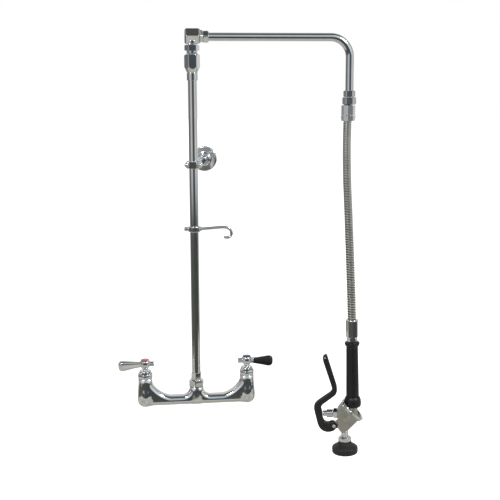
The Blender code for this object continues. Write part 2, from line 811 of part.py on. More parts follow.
def lever_outline():
    """The squeeze lever seen from its side, about its pivot at the lower right."""
    outer = [(-59.6, 108.6), (-59.4, 100.0), (-43.6, 49.0), (-41.4, 40.0), (-43.4, 35.0)]
    outer += [(-70.0, 16.4), (-77.0, 9.6), (-79.6, 1.5), (-78.4, -8.0), (-71.2, -38.0)]
    outer += [(-66.0, -46.0), (-58.6, -50.8), (-50.6, -52.0), (-42.0, -50.2)]
    nose = arc(LEVER_PIVOT, 7.2, -60, 75, 4)
    inner = [(-37.5, -28.9), (-44.0, -28.9), (-50.6, -31.0), (-56.0, -29.6), (-60.2, -24.6)]
    inner += [(-62.0, -17.0), (-62.4, -8.0), (-64.6, 2.0), (-61.4, 7.6), (-37.0, 26.0)]
    inner += [(-33.0, 31.0), (-31.4, 38.0), (-32.0, 47.5), (-50.6, 111.0), (-53.0, 114.6)]
    return outer + nose + inner


def make_spray_lever(frame):
    pivot = bpy.data.objects.new("spray_lever_axis", None)
    bpy.context.scene.collection.objects.link(pivot)
    pivot.parent = frame
    pivot.location = Vector((LEVER_PIVOT[0], 0, LEVER_PIVOT[1])) * MM
    outline = [(x - LEVER_PIVOT[0], z - LEVER_PIVOT[1]) for x, z in lever_outline()]
    half = LEVER_WIDTH / 2
    lever = prism("spray_lever", outline, -half, half, BLACK_COATING, 2.4, 1, parent=pivot)
    fork = [(-13, -18), (-13, 14), (16, 14), (16, -18)]
    slot = prism("fork_solid", fork, -3.6, 3.6, None, parent=pivot)
    combine(lever, slot, "DIFFERENCE")
    drill(lever, 2.1, -20, 20, 16, parent=pivot, turn=Y_AXIS)
    pin = [(0, -7.3), (2.0, -7.3), (2.0, 7.3), (0, 7.3)]
    turned("lever_pin", pin, CHROME, 16, parent=pivot, turn=Y_AXIS)


# ------------------------------------------------------------ bracket and hook


def make_bracket():
    """The clamp round the riser, the rod and the wall flange, turned a little sideways."""
    frame = bpy.data.objects.new("bracket_axis", None)
    bpy.context.scene.collection.objects.link(frame)
    turn = Matrix.Rotation(math.radians(-BRACKET_YAW), 4, "Z")
    frame.matrix_world = Matrix.Translation(Vector((0, AXIS_Y, BRACKET_Z)) * MM) @ turn
    half_height = 7.3
    half_width = 16.0
    shape = [
        (-half_width, -half_height + 3.5),
        (-half_width + 3.5, -half_height),
        (half_width - 3.5, -half_height),
        (half_width, -half_height + 3.5),
        (half_width, half_height - 3.5),
        (half_width - 3.5, half_height),
        (-half_width + 3.5, half_height),
        (-half_width, half_height - 3.5),
    ]
    front = prism("bracket_clamp_front", shape, -13.0, -0.6, CHROME, 0.8, 1, parent=frame)
    back = prism("bracket_clamp_back", shape, 0.6, 12.0, CHROME, 0.8, 1, parent=frame)
    along = {"parent": frame, "turn": Y_AXIS}
    boss = rod("rod_boss_solid", 11.5, 8, 24, **along)
    combine(back, boss, "UNION")
    for piece in (front, back):
        drill(piece, RISER_RADIUS + GAP, -20, 20, parent=frame)
    drill(back, ROD_RADIUS + GAP, 13, 30, **along)
    for name, x in (("bracket_screw_left", -12.2), ("bracket_screw_right", 12.2)):
        hole = {"parent": frame, "at": (x, 0, 0), "turn": Y_AXIS}
        drill(front, 2.3, -20, 5, 12, **hole)
        drill(back, 2.3, -5, 9, 12, **hole)
        screw = [(0, -15.4), (2.2, -15.4), (3.4, -14.6), (3.4, -13.3), (2.0, -13.3), (2.0, 8.0), (0, 8.0)]
        turned(name, screw, STEEL, 12, **hole)
    nipple = ring_profile(6.4, ROD_RADIUS, 13.3, BRACKET_REACH - 3)
    turned("bracket_rod", nipple, CHROME, 24, **along)
    reach = BRACKET_REACH
    bore = ROD_RADIUS + GAP
    dish = [
        (bore, reach - 12),
        (10.8, reach - 12),
        (11.6, reach - 10.6),
        (12.4, reach - 6.2),
        (22.0, reach - 5.0),
        (25.4, reach - 3.4),
        (FLANGE_RADIUS, reach - 1.6),
        (FLANGE_RADIUS, reach),
        (bore, reach),
    ]
    turned("wall_flange", dish, CHROME, 28, **along)


def make_hook():
    at = (0, AXIS_Y, HOOK_Z)
    bore = RISER_RADIUS + GAP
    ring = turned("hook_clamp", ring_profile(bore, 12.4, -5.4, 5.4, 1.0), CHROME, at=at)
    side_boss = rod("hook_boss_solid", 4.6, 10, 14.5, None, 16, at=at, turn=X_AXIS)
    combine(ring, side_boss, "UNION")
    drill(ring, HOOK_ROD_RADIUS + 0.25, 9, 20, 16, at=at, turn=X_AXIS)
    drill(ring, 2.3, -20, -8, 12, at=at, turn=X_AXIS)
    screw = [(0, -19.6), (3.4, -19.6), (4.4, -18.8), (4.4, -13.0), (2.0, -12.8), (2.0, -9.3), (0, -9.3)]
    turned("hook_screw", screw, CHROME, 16, at=at, turn=X_AXIS)
    route = [
        (10.0, -0.2),
        (18.0, 0.2),
        (30.0, 0.9),
        (50.0, 2.2),
        (61.0, 2.0),
        (69.0, -1.6),
        (72.6, -8.6),
        (70.6, -15.4),
        (64.4, -18.4),
        (57.4, -16.6),
    ]
    tube_along("hook_rod", smooth_path(route, 24), HOOK_ROD_RADIUS, 0, CHROME, 12, at=at)


def main():
    clear_scene()
    make_base()
    make_outlet_fittings()
    make_valve(-1, "hot", RED)
    make_valve(1, "cold", BLUE)
    make_riser()
    make_swivel()
    make_elbow()
    make_arm()
    make_hose()
    frame = grip_frame()
    make_grip(frame)
    make_spray_body(frame)
    make_spray_valve(frame)
    make_spray_lever(frame)
    make_bracket()
    make_hook()


main()
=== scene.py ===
"""Looks of the wall-mounted pre-rinse faucet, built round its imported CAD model.

Shapes are written in millimetres, in the CAD's own places, and stored in metres.
"""

import json
import math

import bmesh
import bpy
import numpy as np
from mathutils import Matrix, Vector


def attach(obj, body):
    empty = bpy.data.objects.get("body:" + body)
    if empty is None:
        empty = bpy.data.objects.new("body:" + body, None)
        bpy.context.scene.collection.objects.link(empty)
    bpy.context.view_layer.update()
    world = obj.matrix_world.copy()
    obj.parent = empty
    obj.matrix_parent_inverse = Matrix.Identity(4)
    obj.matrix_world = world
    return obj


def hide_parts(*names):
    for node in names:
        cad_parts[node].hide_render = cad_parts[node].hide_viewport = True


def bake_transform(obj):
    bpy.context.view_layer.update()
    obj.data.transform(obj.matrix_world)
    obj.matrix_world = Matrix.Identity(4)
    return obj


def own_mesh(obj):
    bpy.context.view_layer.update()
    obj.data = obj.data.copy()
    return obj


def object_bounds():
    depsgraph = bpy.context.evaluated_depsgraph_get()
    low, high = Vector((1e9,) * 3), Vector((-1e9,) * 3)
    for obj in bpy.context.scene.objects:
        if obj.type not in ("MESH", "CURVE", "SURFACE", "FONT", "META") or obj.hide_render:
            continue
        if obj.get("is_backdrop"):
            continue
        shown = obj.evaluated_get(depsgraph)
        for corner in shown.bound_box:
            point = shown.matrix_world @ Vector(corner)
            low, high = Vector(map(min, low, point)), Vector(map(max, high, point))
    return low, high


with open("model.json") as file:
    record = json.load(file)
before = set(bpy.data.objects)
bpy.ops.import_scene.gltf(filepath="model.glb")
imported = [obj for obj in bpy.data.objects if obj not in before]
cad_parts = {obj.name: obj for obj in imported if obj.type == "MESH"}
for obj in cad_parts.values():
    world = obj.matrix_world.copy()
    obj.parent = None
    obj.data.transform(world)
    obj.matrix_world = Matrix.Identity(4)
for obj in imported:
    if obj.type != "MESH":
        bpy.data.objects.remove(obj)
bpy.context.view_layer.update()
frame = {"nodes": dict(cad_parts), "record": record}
record = frame["record"]
SLOT_OF = {part["node"]: part["material_slot"] for part in record["subparts"]}
BODY_OF = {node: body for body, nodes in record["behaviour"]["bodies"].items() for node in nodes}

MM = 0.001
AXIS_Y = -40.0
COLUMN_X = 101.6
LEVER_Z = 76.0
RISER_RADIUS, RISER_BORE = 8.55, 8.85
ARM_RADIUS, ARM_BORE = 7.95, 8.25
ARM_REACH, ARM_Z, ARM_BEND = 304.8, 711.0, 38.0
WATERWAY = 5.2
GRIP_X, GRIP_Z, GRIP_BORE = 321.2, -34.3, 6.9
PIVOT_X, PIVOT_Z = -38.6, -38.2
FINE = 96

IDENTITY = Matrix.Identity(4)


def move(x=0.0, y=0.0, z=0.0):
    return Matrix.Translation((x, y, z))


def spin(degrees, axis="Z"):
    return Matrix.Rotation(math.radians(degrees), 4, axis)


# Places whose local Z axis is the axis of what sits there. X_AXIS and Y_AXIS turn that axis.
X_AXIS = spin(90, "Y")
Y_AXIS = spin(-90, "X")
RISER = move(0, AXIS_Y, 0)
GRIP_LEAN = 1.37
GRIP = move(GRIP_X, AXIS_Y, GRIP_Z) @ spin(-GRIP_LEAN, "Y") @ spin(-12.0)
NOZZLE = GRIP @ move(-16.8, 0, 0)
PORT = GRIP @ move(0, 0, -12.0) @ X_AXIS
PIVOT = GRIP @ move(PIVOT_X, 0, PIVOT_Z)
SEAT = GRIP @ move(-2.2, 0, -6.2) @ spin(45, "Y")
BRACKET = move(0, AXIS_Y, 470.0) @ spin(-12.2)
BRACKET_ROD = BRACKET @ Y_AXIS
HOOK = move(0, AXIS_Y, 344.9)


# ---- materials


def add_ramp(tree, value, stops, interpolation="LINEAR"):
    node = tree.nodes.new("ShaderNodeValToRGB")
    node.color_ramp.interpolation = interpolation
    elements = node.color_ramp.elements
    while len(elements) < len(stops):
        elements.new(0.5)
    for element, (position, colour) in zip(elements, stops):
        element.position = position
        element.color = (*colour, 1.0)
    tree.links.new(value, node.inputs["Fac"])
    return node.outputs["Color"]


class Shader:
    """A Principled material and the node calls that the recipes below share."""

    def __init__(self, name, metallic=0.0, **sockets):
        self.material = bpy.data.materials.new(name)
        self.material.use_nodes = True
        self.nodes = self.material.node_tree.nodes
        self.links = self.material.node_tree.links
        self.bsdf = self.nodes["Principled BSDF"]
        self.bsdf.inputs["Metallic"].default_value = metallic
        for socket, value in sockets.items():
            self.bsdf.inputs[socket.replace("_", " ")].default_value = value
        self.place = self.nodes.new("ShaderNodeTexCoord").outputs["Object"]
        self.normal = None

    def noise(self, scale, detail=3.0, stretch=None):
        """Noise over the surface; scale is in waves per metre, stretch squeezes it per axis."""
        place = self.place
        if stretch:
            mapping = self.nodes.new("ShaderNodeMapping")
            mapping.inputs["Scale"].default_value = stretch
            self.links.new(place, mapping.inputs["Vector"])
            place = mapping.outputs["Vector"]
        node = self.nodes.new("ShaderNodeTexNoise")
        node.inputs["Scale"].default_value = scale
        node.inputs["Detail"].default_value = detail
        self.links.new(place, node.inputs["Vector"])
        return node.outputs["Fac"]

    def ramp(self, value, *stops):
        return add_ramp(self.material.node_tree, value, stops)

    def spread(self, value, low, high):
        """Maps the usual range of a noise, 0.3 to 0.7, to low and high."""
        node = self.nodes.new("ShaderNodeMapRange")
        node.inputs["From Min"].default_value = 0.3
        node.inputs["From Max"].default_value = 0.7
        node.inputs["To Min"].default_value = low
        node.inputs["To Max"].default_value = high
        self.links.new(value, node.inputs["Value"])
        return node.outputs["Result"]

    def feed(self, value, socket):
        self.links.new(value, self.bsdf.inputs[socket])

    def bump(self, height, depth):
        """Adds relief of the given depth in millimetres."""
        node = self.nodes.new("ShaderNodeBump")
        node.inputs["Distance"].default_value = depth * MM
        self.links.new(height, node.inputs["Height"])
        if self.normal:
            self.links.new(self.normal, node.inputs["Normal"])
        self.normal = node.outputs["Normal"]
        self.feed(self.normal, "Normal")


def mixed_material(name, tint, dark, pale, haze, rough, *bumps, span=(0.3, 0.7), **more):
    """A material built from noises, each given as the noise call's own values.

    tint spreads the colour from dark to pale over span, haze spreads the roughness over rough,
    and each bump is a noise and its depth.
    """
    shader = Shader(name, **more)
    shader.feed(shader.ramp(shader.noise(*tint), (span[0], dark), (span[1], pale)), "Base Color")
    shader.feed(shader.spread(shader.noise(*haze), *rough), "Roughness")
    for grain, depth in bumps:
        shader.bump(shader.noise(*grain), depth)
    return shader.material


def chrome(name, rough, *waves):
    """Bright plated metal: faint tint changes, polishing haze and, on castings, slow waves."""
    dark, pale = (0.80, 0.815, 0.835), (0.90, 0.90, 0.885)
    haze = (160, 4, (1.0, 1.0, 0.35))
    grain = ((1400, 2, (1.0, 1.0, 0.2)), 0.0022)
    return mixed_material(name, (38, 2), dark, pale, haze, rough, *waves, grain, metallic=1.0)


def satin_nickel(name):
    dark, pale = (0.55, 0.53, 0.475), (0.63, 0.61, 0.555)
    bumps = ((90, 2), 0.05), ((2300, 2), 0.006)
    more = {"span": (0.25, 0.75), "metallic": 1.0}
    return mixed_material(name, (70, 4), dark, pale, (420, 3), (0.26, 0.42), *bumps, **more)


def hose_steel(name, shade=1.0):
    # shade scales the colour down; the grooves' steel uses it for painted shade.
    dark = (0.80 * shade, 0.80 * shade, 0.77 * shade)
    pale = (0.93 * shade, 0.925 * shade, 0.895 * shade)
    grain = ((1800, 2, (1.0, 1.0, 2.2)), 0.004)
    return mixed_material(name, (55, 3), dark, pale, (600, 3), (0.16, 0.28), grain, metallic=1.0)


def brass(name):
    dark, pale = (0.60, 0.44, 0.18), (0.74, 0.57, 0.27)
    haze = (900, 2, (1.0, 1.0, 8.0))
    return mixed_material(name, (90,), dark, pale, haze, (0.2, 0.36), metallic=1.0)


def black_rubber(name, shade=0.010, rough=(0.30, 0.42), depth=0.012):
    """Moulded rubber: shade is its mean grey and depth its grain's."""
    dark, pale = 0.7 * shade, 1.35 * shade
    dark, pale = (dark, dark, 0.93 * dark), (pale, pale, 0.93 * pale)
    return mixed_material(name, (120, 4), dark, pale, (300, 3), rough, ((1500, 3), depth))


def black_plastic(name):
    dark, pale = (0.004, 0.004, 0.004), (0.008, 0.008, 0.0075)
    return mixed_material(name, (60, 3), dark, pale, (260, 3), (0.24, 0.36), ((900, 2), 0.006))


def black_coating(name):
    """Dipped coating on steel: soft sheen, slight orange peel and paler, rubbed patches."""
    dark, pale = (0.008, 0.008, 0.0075), (0.020, 0.020, 0.0185)
    peel = ((520, 2), 0.03)
    more = {"span": (0.35, 0.75), "Coat_Weight": 0.15, "Coat_Roughness": 0.35}
    return mixed_material(name, (85, 5), dark, pale, (240, 4), (0.33, 0.50), peel, **more)


def glossy_colour(name, dark, pale):
    more = {"Coat_Weight": 0.6, "Coat_Roughness": 0.08}
    return mixed_material(name, (200,), dark, pale, (500,), (0.2, 0.32), **more)


MATERIALS = {
    "chrome": chrome("polished_chrome", (0.035, 0.085)),
    "cast_chrome": chrome("polished_cast_chrome", (0.045, 0.10), ((48, 1.5), 0.16)),
    "satin_nickel": satin_nickel("satin_cast_nickel"),
    "stainless_hose": hose_steel("stainless_steel"),
    # The groove steel is painted shade: the same steel darkened to 0.13 for the shadow deep in each
    # groove.
    "hose_groove_painted_shade": hose_steel("stainless_steel_groove_painted_shade", 0.13),
    "brass": brass("turned_brass"),
    "black_rubber": black_rubber("moulded_black_rubber"),
    # The bumper's rubber is a paler grey than the grip's, all over.
    "pale_rubber": black_rubber("pale_bumper_rubber", 0.024, (0.42, 0.58), 0.03),
    "black_plastic": black_plastic("black_handle_plastic"),
    "black_coating": black_coating("black_lever_coating"),
    "red_index": glossy_colour("red_index", (0.55, 0.10, 0.14), (0.68, 0.16, 0.20)),
    "blue_index": glossy_colour("blue_index", (0.015, 0.03, 0.10), (0.03, 0.055, 0.15)),
}


# ---- mesh building


def add_object(name, data):
    obj = bpy.data.objects.new(name, data)
    bpy.context.scene.collection.objects.link(obj)
    return obj


def mesh_object(name, bm, place, sharp, *materials):
    """Turns a bmesh in millimetres into an object, smooth but for edges sharper than an angle."""
    bm.transform(Matrix.Scale(MM, 4) @ place)
    bmesh.ops.remove_doubles(bm, verts=bm.verts, dist=2e-7)
    bmesh.ops.recalc_face_normals(bm, faces=bm.faces)
    mesh = bpy.data.meshes.new(name)
    bm.to_mesh(mesh)
    bm.free()
    mesh.shade_smooth()
    mesh.set_sharp_from_angle(angle=math.radians(sharp))
    for material in materials:
        mesh.materials.append(MATERIALS[material])
    return add_object(name, mesh)


def finish(node, bm, place=IDENTITY, name=None, material=None, slot=None, sharp=32, flat=True):
    """Makes a shown piece of a CAD node. It stands for the node unless it has its own name.

    flat lets the large faces set the shading.
    """
    look = material or slot or SLOT_OF[node]
    obj = mesh_object(name or node + "_look", bm, place, sharp, look)
    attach(obj, BODY_OF[node])
    if not name:
        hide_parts(node)
    if flat:
        flats = obj.modifiers.new("flat_faces", "WEIGHTED_NORMAL")
        flats.keep_sharp = True
    return obj


def softened(profile, radius, steps=4):
    """A closed outline with its corners rounded. Points on the axis stay sharp."""
    count = len(profile)
    rounded = []
    for i, point in enumerate(profile):
        before = Vector(profile[i - 1])
        here = Vector(point)
        after = Vector(profile[(i + 1) % count])
        if radius <= 0 or here.x <= 0:
            rounded.append(tuple(here))
            continue
        reach = min(radius, 0.42 * (before - here).length, 0.42 * (after - here).length)
        start = here + (before - here).normalized() * reach
        end = here + (after - here).normalized() * reach
        for step in range(steps + 1):
            t = step / steps
            rounded.append(tuple((1 - t) ** 2 * start + 2 * t * (1 - t) * here + t * t * end))
    return rounded


def revolve(loops):
    """A closed surface through loops of (radius, height), evenly spaced round the local Z axis."""
    bm = bmesh.new()
    columns = []
    for i, loop in enumerate(loops):
        angle = math.tau * i / len(loops)
        columns.append([bm.verts.new((r * math.cos(angle), r * math.sin(angle), z)) for r, z in loop])
    for i, loop in enumerate(loops):
        left, right = columns[i], columns[(i + 1) % len(loops)]
        for j in range(len(loop)):
            k = (j + 1) % len(loop)
            on_axis = loop[j][0] <= 0 and loop[k][0] <= 0
            if not on_axis:
                bm.faces.new((left[j], right[j], right[k], left[k]))
    return bm


def lathe(profile, rounding=0.35, segments=FINE):
    """A turned shape from a closed loop of (radius, height) round the local Z axis."""
    bm = revolve([softened(profile, rounding)] * segments)
    bmesh.ops.remove_doubles(bm, verts=bm.verts, dist=1e-5)
    return bm


def ring(inner, outer, bottom, top):
    return [(inner, bottom), (outer, bottom), (outer, top), (inner, top)]


def flats_radius(angle, corner, rounding, sides):
    """Radius of a regular polygon at an angle, with its corners rounded."""
    half = math.pi / sides
    flat = corner * math.cos(half)
    off = (angle + half) % (2 * half) - half
    centre = (flat - rounding) / math.cos(half)
    inside = rounding**2 - (centre * math.sin(off)) ** 2
    if inside > 0:
        reach = centre * math.cos(off) + math.sqrt(inside)
        if reach * abs(math.sin(off)) <= rounding * math.sin(half):
            return reach
    return flat / math.cos(half - abs(off))


def nut(corner, bottom, top, bore, low=(0.89, 0.6), high=(0.89, 0.6), rounding=1.2, sides=6):
    """A nut between two heights, whose ends are turned to cones.

    low and high give each cone's end radius, as a share of the corner radius, and its slope.
    """
    segments = 168
    bevel_in, bevel_up = 0.08, 0.12
    loops = []
    for i in range(segments):
        radius = flats_radius(math.tau * i / segments, corner, rounding, sides)
        low_radius = min(radius, low[0] * corner)
        high_radius = min(radius, high[0] * corner)
        foot = bottom + bevel_up + max(0.0, radius - low[0] * corner) * low[1]
        shoulder = top - bevel_up - max(0.0, radius - high[0] * corner) * high[1]
        loops.append(
            [
                (bore, bottom), (low_radius - 0.35, bottom), (low_radius, bottom + bevel_up),
                (radius - bevel_in, foot), (radius, foot + 0.14), (radius, shoulder - 0.14),
                (radius - bevel_in, shoulder), (high_radius, top - bevel_up),
                (high_radius - 0.35, top), (bore, top),
            ]
        )
    return revolve(loops)


def skin(bm, rings):
    """Joins rings of vertices into one bar, closed at both ends."""
    for first, second in zip(rings, rings[1:]):
        for i in range(len(first)):
            j = (i + 1) % len(first)
            bm.faces.new((first[i], first[j], second[j], second[i]))
    bm.faces.new(rings[0])
    bm.faces.new(rings[-1])
    return bm


def sweep(path, radius_at, segments=48):
    """A round tube along a path of 3-D points, closed at both ends."""
    bm = bmesh.new()
    points = [Vector(p) for p in path]
    side = Vector((0, 1, 0))
    rings = []
    for i, point in enumerate(points):
        along = (points[min(i + 1, len(points) - 1)] - points[max(i - 1, 0)]).normalized()
        side = (side - along * side.dot(along)).normalized()
        other = along.cross(side)
        radius = radius_at(i)
        loop = []
        for j in range(segments):
            angle = math.tau * j / segments
            spot = point + side * radius * math.cos(angle) + other * radius * math.sin(angle)
            loop.append(bm.verts.new(spot))
        rings.append(loop)
    return skin(bm, rings)


def smooth_path(points, count):
    """Evenly numbered points on a Catmull-Rom curve through the given ones."""
    control = [Vector(p) for p in [points[0], *points, points[-1]]]
    spans = len(points) - 1
    path = []
    for i in range(count):
        place = spans * i / (count - 1)
        span = min(int(place), spans - 1)
        t = place - span
        p0, p1, p2, p3 = control[span : span + 4]
        bend = (2 * p0 - 5 * p1 + 4 * p2 - p3) * t**2 + (3 * p1 - p0 - 3 * p2 + p3) * t**3
        path.append(0.5 * (2 * p1 + (p2 - p0) * t + bend))
    return path


def arc(centre, radius, start, end, steps):
    angles = [math.radians(start + (end - start) * i / steps) for i in range(steps + 1)]
    return [(centre[0] + radius * math.cos(a), centre[1] + radius * math.sin(a)) for a in angles]


# ---- cast shapes as distance fields
# A field takes an array of points in millimetres and gives each one's signed distance.


def join(first, second, fillet):
    """Union with a fillet."""
    share = np.clip(0.5 + 0.5 * (second - first) / fillet, 0, 1)
    return second * (1 - share) + first * share - fillet * share * (1 - share)


def cut(first, second, fillet):
    return -join(-first, second, fillet)


def polygon_distance(x, y, outline, skip_axis=False):
    """Signed distance to a closed outline, negative inside."""
    best = np.full(x.shape, 1e9)
    inside = np.zeros(x.shape, bool)
    for i, (x1, y1) in enumerate(outline):
        x0, y0 = outline[i - 1]
        crosses = (y0 > y) != (y1 > y)
        if y1 != y0:
            inside ^= crosses & (x < x0 + (y - y0) * (x1 - x0) / (y1 - y0))
        if skip_axis and x0 <= 0 and x1 <= 0:
            continue
        ex, ey = x1 - x0, y1 - y0
        t = np.clip(((x - x0) * ex + (y - y0) * ey) / (ex * ex + ey * ey), 0, 1)
        best = np.minimum(best, np.hypot(x - x0 - t * ex, y - y0 - t * ey))
    return np.where(inside, -best, best)


def turned_field(p, profile, edge=0.0):
    """A turned solid about the local Z axis. Its profile starts and ends on the axis."""
    return polygon_distance(np.hypot(p[:, 0], p[:, 1]), p[:, 2], profile, True) - edge


def slab_field(p, outline, half, edge):
    """An outline in XZ, half thick either way along Y, with rounded edges."""
    flat = polygon_distance(p[:, 0], p[:, 2], outline) + edge
    deep = np.abs(p[:, 1]) - half + edge
    outside = np.hypot(np.maximum(flat, 0), np.maximum(deep, 0))
    return np.minimum(np.maximum(flat, deep), 0) + outside - edge


def rod_field(p, radius, low, high, edge=0.0):
    """A cylinder about the local Z axis."""
    side = np.hypot(p[:, 0], p[:, 1]) - radius + edge
    end = np.abs(p[:, 2] - (low + high) / 2) - (high - low) / 2 + edge
    outside = np.hypot(np.maximum(side, 0), np.maximum(end, 0))
    return np.minimum(np.maximum(side, end), 0) + outside - edge


def seen_from(p, place):
    """The points in the local frame of a place."""
    matrix = np.array(place.inverted())
    return p @ matrix[:3, :3].T + matrix[:3, 3]


def moved(p, x=0.0, y=0.0, z=0.0):
    return p - np.array((x, y, z))


def gradient(field, p):
    step = 0.03
    parts = []
    for axis in range(3):
        offset = np.zeros(3)
        offset[axis] = step
        parts.append((field(p + offset) - field(p - offset)) / (2 * step))
    return np.stack(parts, axis=1)


def surface_of(field, low, high, cell):
    """The zero surface of a field as a mesh: one point per crossed cell, drawn onto it."""
    axes = [np.arange(a - cell, b + 2 * cell, cell) for a, b in zip(low, high)]
    shape = tuple(len(axis) for axis in axes)
    grid = np.stack(np.meshgrid(*axes, indexing="ij"), -1).reshape(-1, 3)
    values = np.concatenate([field(part) for part in np.array_split(grid, 8)]).reshape(shape)
    cells = tuple(n - 1 for n in shape)
    total = np.zeros((*cells, 3))
    crossings = np.zeros(cells)
    corners = [np.array(c) for c in np.ndindex(2, 2, 2)]
    for start in corners:
        for axis in range(3):
            if start[axis]:
                continue
            end = start.copy()
            end[axis] = 1
            a = values[tuple(slice(s, s + n) for s, n in zip(start, cells))]
            b = values[tuple(slice(s, s + n) for s, n in zip(end, cells))]
            hit = (a < 0) != (b < 0)
            share = np.where(hit, a / np.where(hit, a - b, 1), 0)
            for k in range(3):
                along = share if k == axis else start[k]
                total[..., k] += np.where(hit, along, 0)
            crossings += hit
    mixed = crossings > 0
    index = np.full(cells, -1)
    index[mixed] = np.arange(mixed.sum())
    origin = np.array([axis[0] for axis in axes])
    corner = np.stack(np.nonzero(mixed), 1)
    points = origin + cell * (corner + total[mixed] / crossings[mixed][:, None])
    for _ in range(4):
        slope = gradient(field, points)
        points -= (field(points) / np.maximum((slope**2).sum(1), 0.05))[:, None] * slope
    faces = []
    for axis in range(3):
        u, v = [k for k in range(3) if k != axis]
        first = [slice(1, n - 1) for n in shape]
        first[axis] = slice(0, shape[axis] - 1)
        second = list(first)
        second[axis] = slice(1, shape[axis])
        a, b = values[tuple(first)], values[tuple(second)]
        hit = np.nonzero((a < 0) != (b < 0))
        ends_inside = (a[hit] < 0) == (axis != 1)
        base = np.stack(hit, 1)
        base[:, u] += 1
        base[:, v] += 1
        around = []
        for du, dv in ((-1, -1), (0, -1), (0, 0), (-1, 0)):
            place = base.copy()
            place[:, u] += du
            place[:, v] += dv
            around.append(index[tuple(place.T)])
        quads = np.stack(around, 1)
        quads[~ends_inside] = quads[~ends_inside][:, ::-1]
        faces.append(quads)
    bm = bmesh.new()
    verts = [bm.verts.new(p) for p in points]
    for quad in np.concatenate(faces):
        if len(set(quad)) == 4:
            bm.faces.new([verts[i] for i in quad])
    return bm


# ---- camera


def place_camera():
    azimuth = math.radians(-7.167)
    elevation = math.radians(9.846)
    roll = math.radians(-0.202)
    distance = 1.8403
    flat = math.cos(elevation)
    ahead = Vector((-math.sin(azimuth) * flat, math.cos(azimuth) * flat, -math.sin(elevation)))
    level = Vector((math.cos(azimuth), math.sin(azimuth), 0))
    above = level.cross(ahead)
    right = level * math.cos(roll) + above * math.sin(roll)
    up = above * math.cos(roll) - level * math.sin(roll)
    target = level * 0.1083 + Vector((0, AXIS_Y * MM, 0.3029))
    data = bpy.data.cameras.new("camera")
    data.sensor_width = 36.0
    data.lens = 67.68
    camera = add_object("camera", data)
    turn = Matrix((right, up, -ahead)).transposed().to_4x4()
    camera.matrix_world = Matrix.Translation(target - ahead * distance) @ turn
    bpy.context.scene.camera = camera


# ---- hose

HOSE_RADIUS = 8.7
HOSE_PITCH = 5.1
RIB_SHARE = 0.72
RIB_CROWN = 0.42
GROOVE_DEPTH = 1.6
HOSE_END = 187.7


def hose_route():
    """The hose hangs from the coupling to the ferrule in one slack, slightly bent line."""
    lean = math.radians(GRIP_LEAN)
    end = (GRIP_X - HOSE_END * math.sin(lean), GRIP_Z + HOSE_END * math.cos(lean))
    route = [
        (301.9, 551.3), (301.6, 530.0), (301.4, 508.0), (301.6, 484.0), (302.2, 460.0),
        (303.1, 434.0), (304.4, 408.0), (305.8, 384.0), (307.1, 360.0), (308.3, 336.0),
        (309.5, 312.0), (310.7, 288.0), (311.9, 264.0), (313.0, 240.0), (314.2, 216.0),
        (315.3, 192.0),
        end,
    ]
    return [(x, AXIS_Y, z) for x, z in route]


def strip_radius(phase):
    """The interlocked strip across one turn: a crowned rib and a deep groove."""
    across = abs((phase % 1.0) - 0.5) * 2
    if across > RIB_SHARE:
        return HOSE_RADIUS - GROOVE_DEPTH
    return HOSE_RADIUS - RIB_CROWN * (across / RIB_SHARE) ** 2


def make_hose():
    """A steel strip wound into a hose. The mesh follows the winding's own slope."""
    path = smooth_path(hose_route(), 400)
    lengths = [0.0]
    for a, b in zip(path, path[1:]):
        lengths.append(lengths[-1] + (b - a).length)
    total = lengths[-1]
    stations, window = 1600, 20
    spaced = np.linspace(0, total, stations + 1)
    station_x = np.interp(spaced, lengths, [p.x for p in path])
    station_z = np.interp(spaced, lengths, [p.z for p in path])
    per_turn, around = 20, 40
    step = HOSE_PITCH / per_turn
    rows = int(total / step) + per_turn + 1

    def point(row, column):
        travel = row * step + HOSE_PITCH * column / around - HOSE_PITCH
        radius = strip_radius(row / per_turn + 0.5 / per_turn)
        travel = min(max(travel, 0.0), total)
        at = travel / total * stations
        low = min(int(at), stations - 1)
        share = at - low
        x = station_x[low] * (1 - share) + station_x[low + 1] * share
        z = station_z[low] * (1 - share) + station_z[low + 1] * share
        back = max(low - window, 0)
        fore = min(low + window, stations)
        along = Vector((station_x[fore] - station_x[back], 0, station_z[fore] - station_z[back]))
        along.normalize()
        side = Vector((-along.z, 0, along.x))
        angle = math.tau * column / around
        toward = Vector((0, radius * math.sin(angle), 0))
        return Vector((x, AXIS_Y, z)) + side * radius * math.cos(angle) + toward

    bm = bmesh.new()
    grid = [[bm.verts.new(point(row, column)) for column in range(around)] for row in range(rows)]
    for row in range(rows - 1):
        for column in range(around):
            # past the last column, the winding meets the next turn's first column
            last = column == around - 1
            beside = row + per_turn if last else row
            after = (column + 1) % around
            if beside + 1 < rows:
                near, far = grid[row], grid[row + 1]
                bm.faces.new((near[column], grid[beside][after], grid[beside + 1][after], far[column]))
    hose = mesh_object("flexible_hose", bm, IDENTITY, 40, "stainless_hose", "hose_groove_painted_shade")
    # Faces deep in the grooves get the darkened steel, painted shade for the shadow there.
    for face in hose.data.polygons:
        row = min(face.vertices) // around
        across = abs(((row + 1) / per_turn) % 1.0 - 0.5) * 2
        face.material_index = int(across > RIB_SHARE)
    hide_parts("hose")
    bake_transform(hose)


# ---- mixing base


def hollow_corner(wall, floor, fullness, steps=12):
    """The curve of a hollow from a wall down to a floor, squarer where it is fuller."""
    points = []
    for i in range(steps + 1):
        angle = math.pi / 2 * i / steps
        across = math.cos(angle) ** (2 / fullness)
        down = math.sin(angle) ** (2 / fullness)
        points.append((floor[0] + (wall[0] - floor[0]) * across, wall[1] + (floor[1] - wall[1]) * down))
    return points


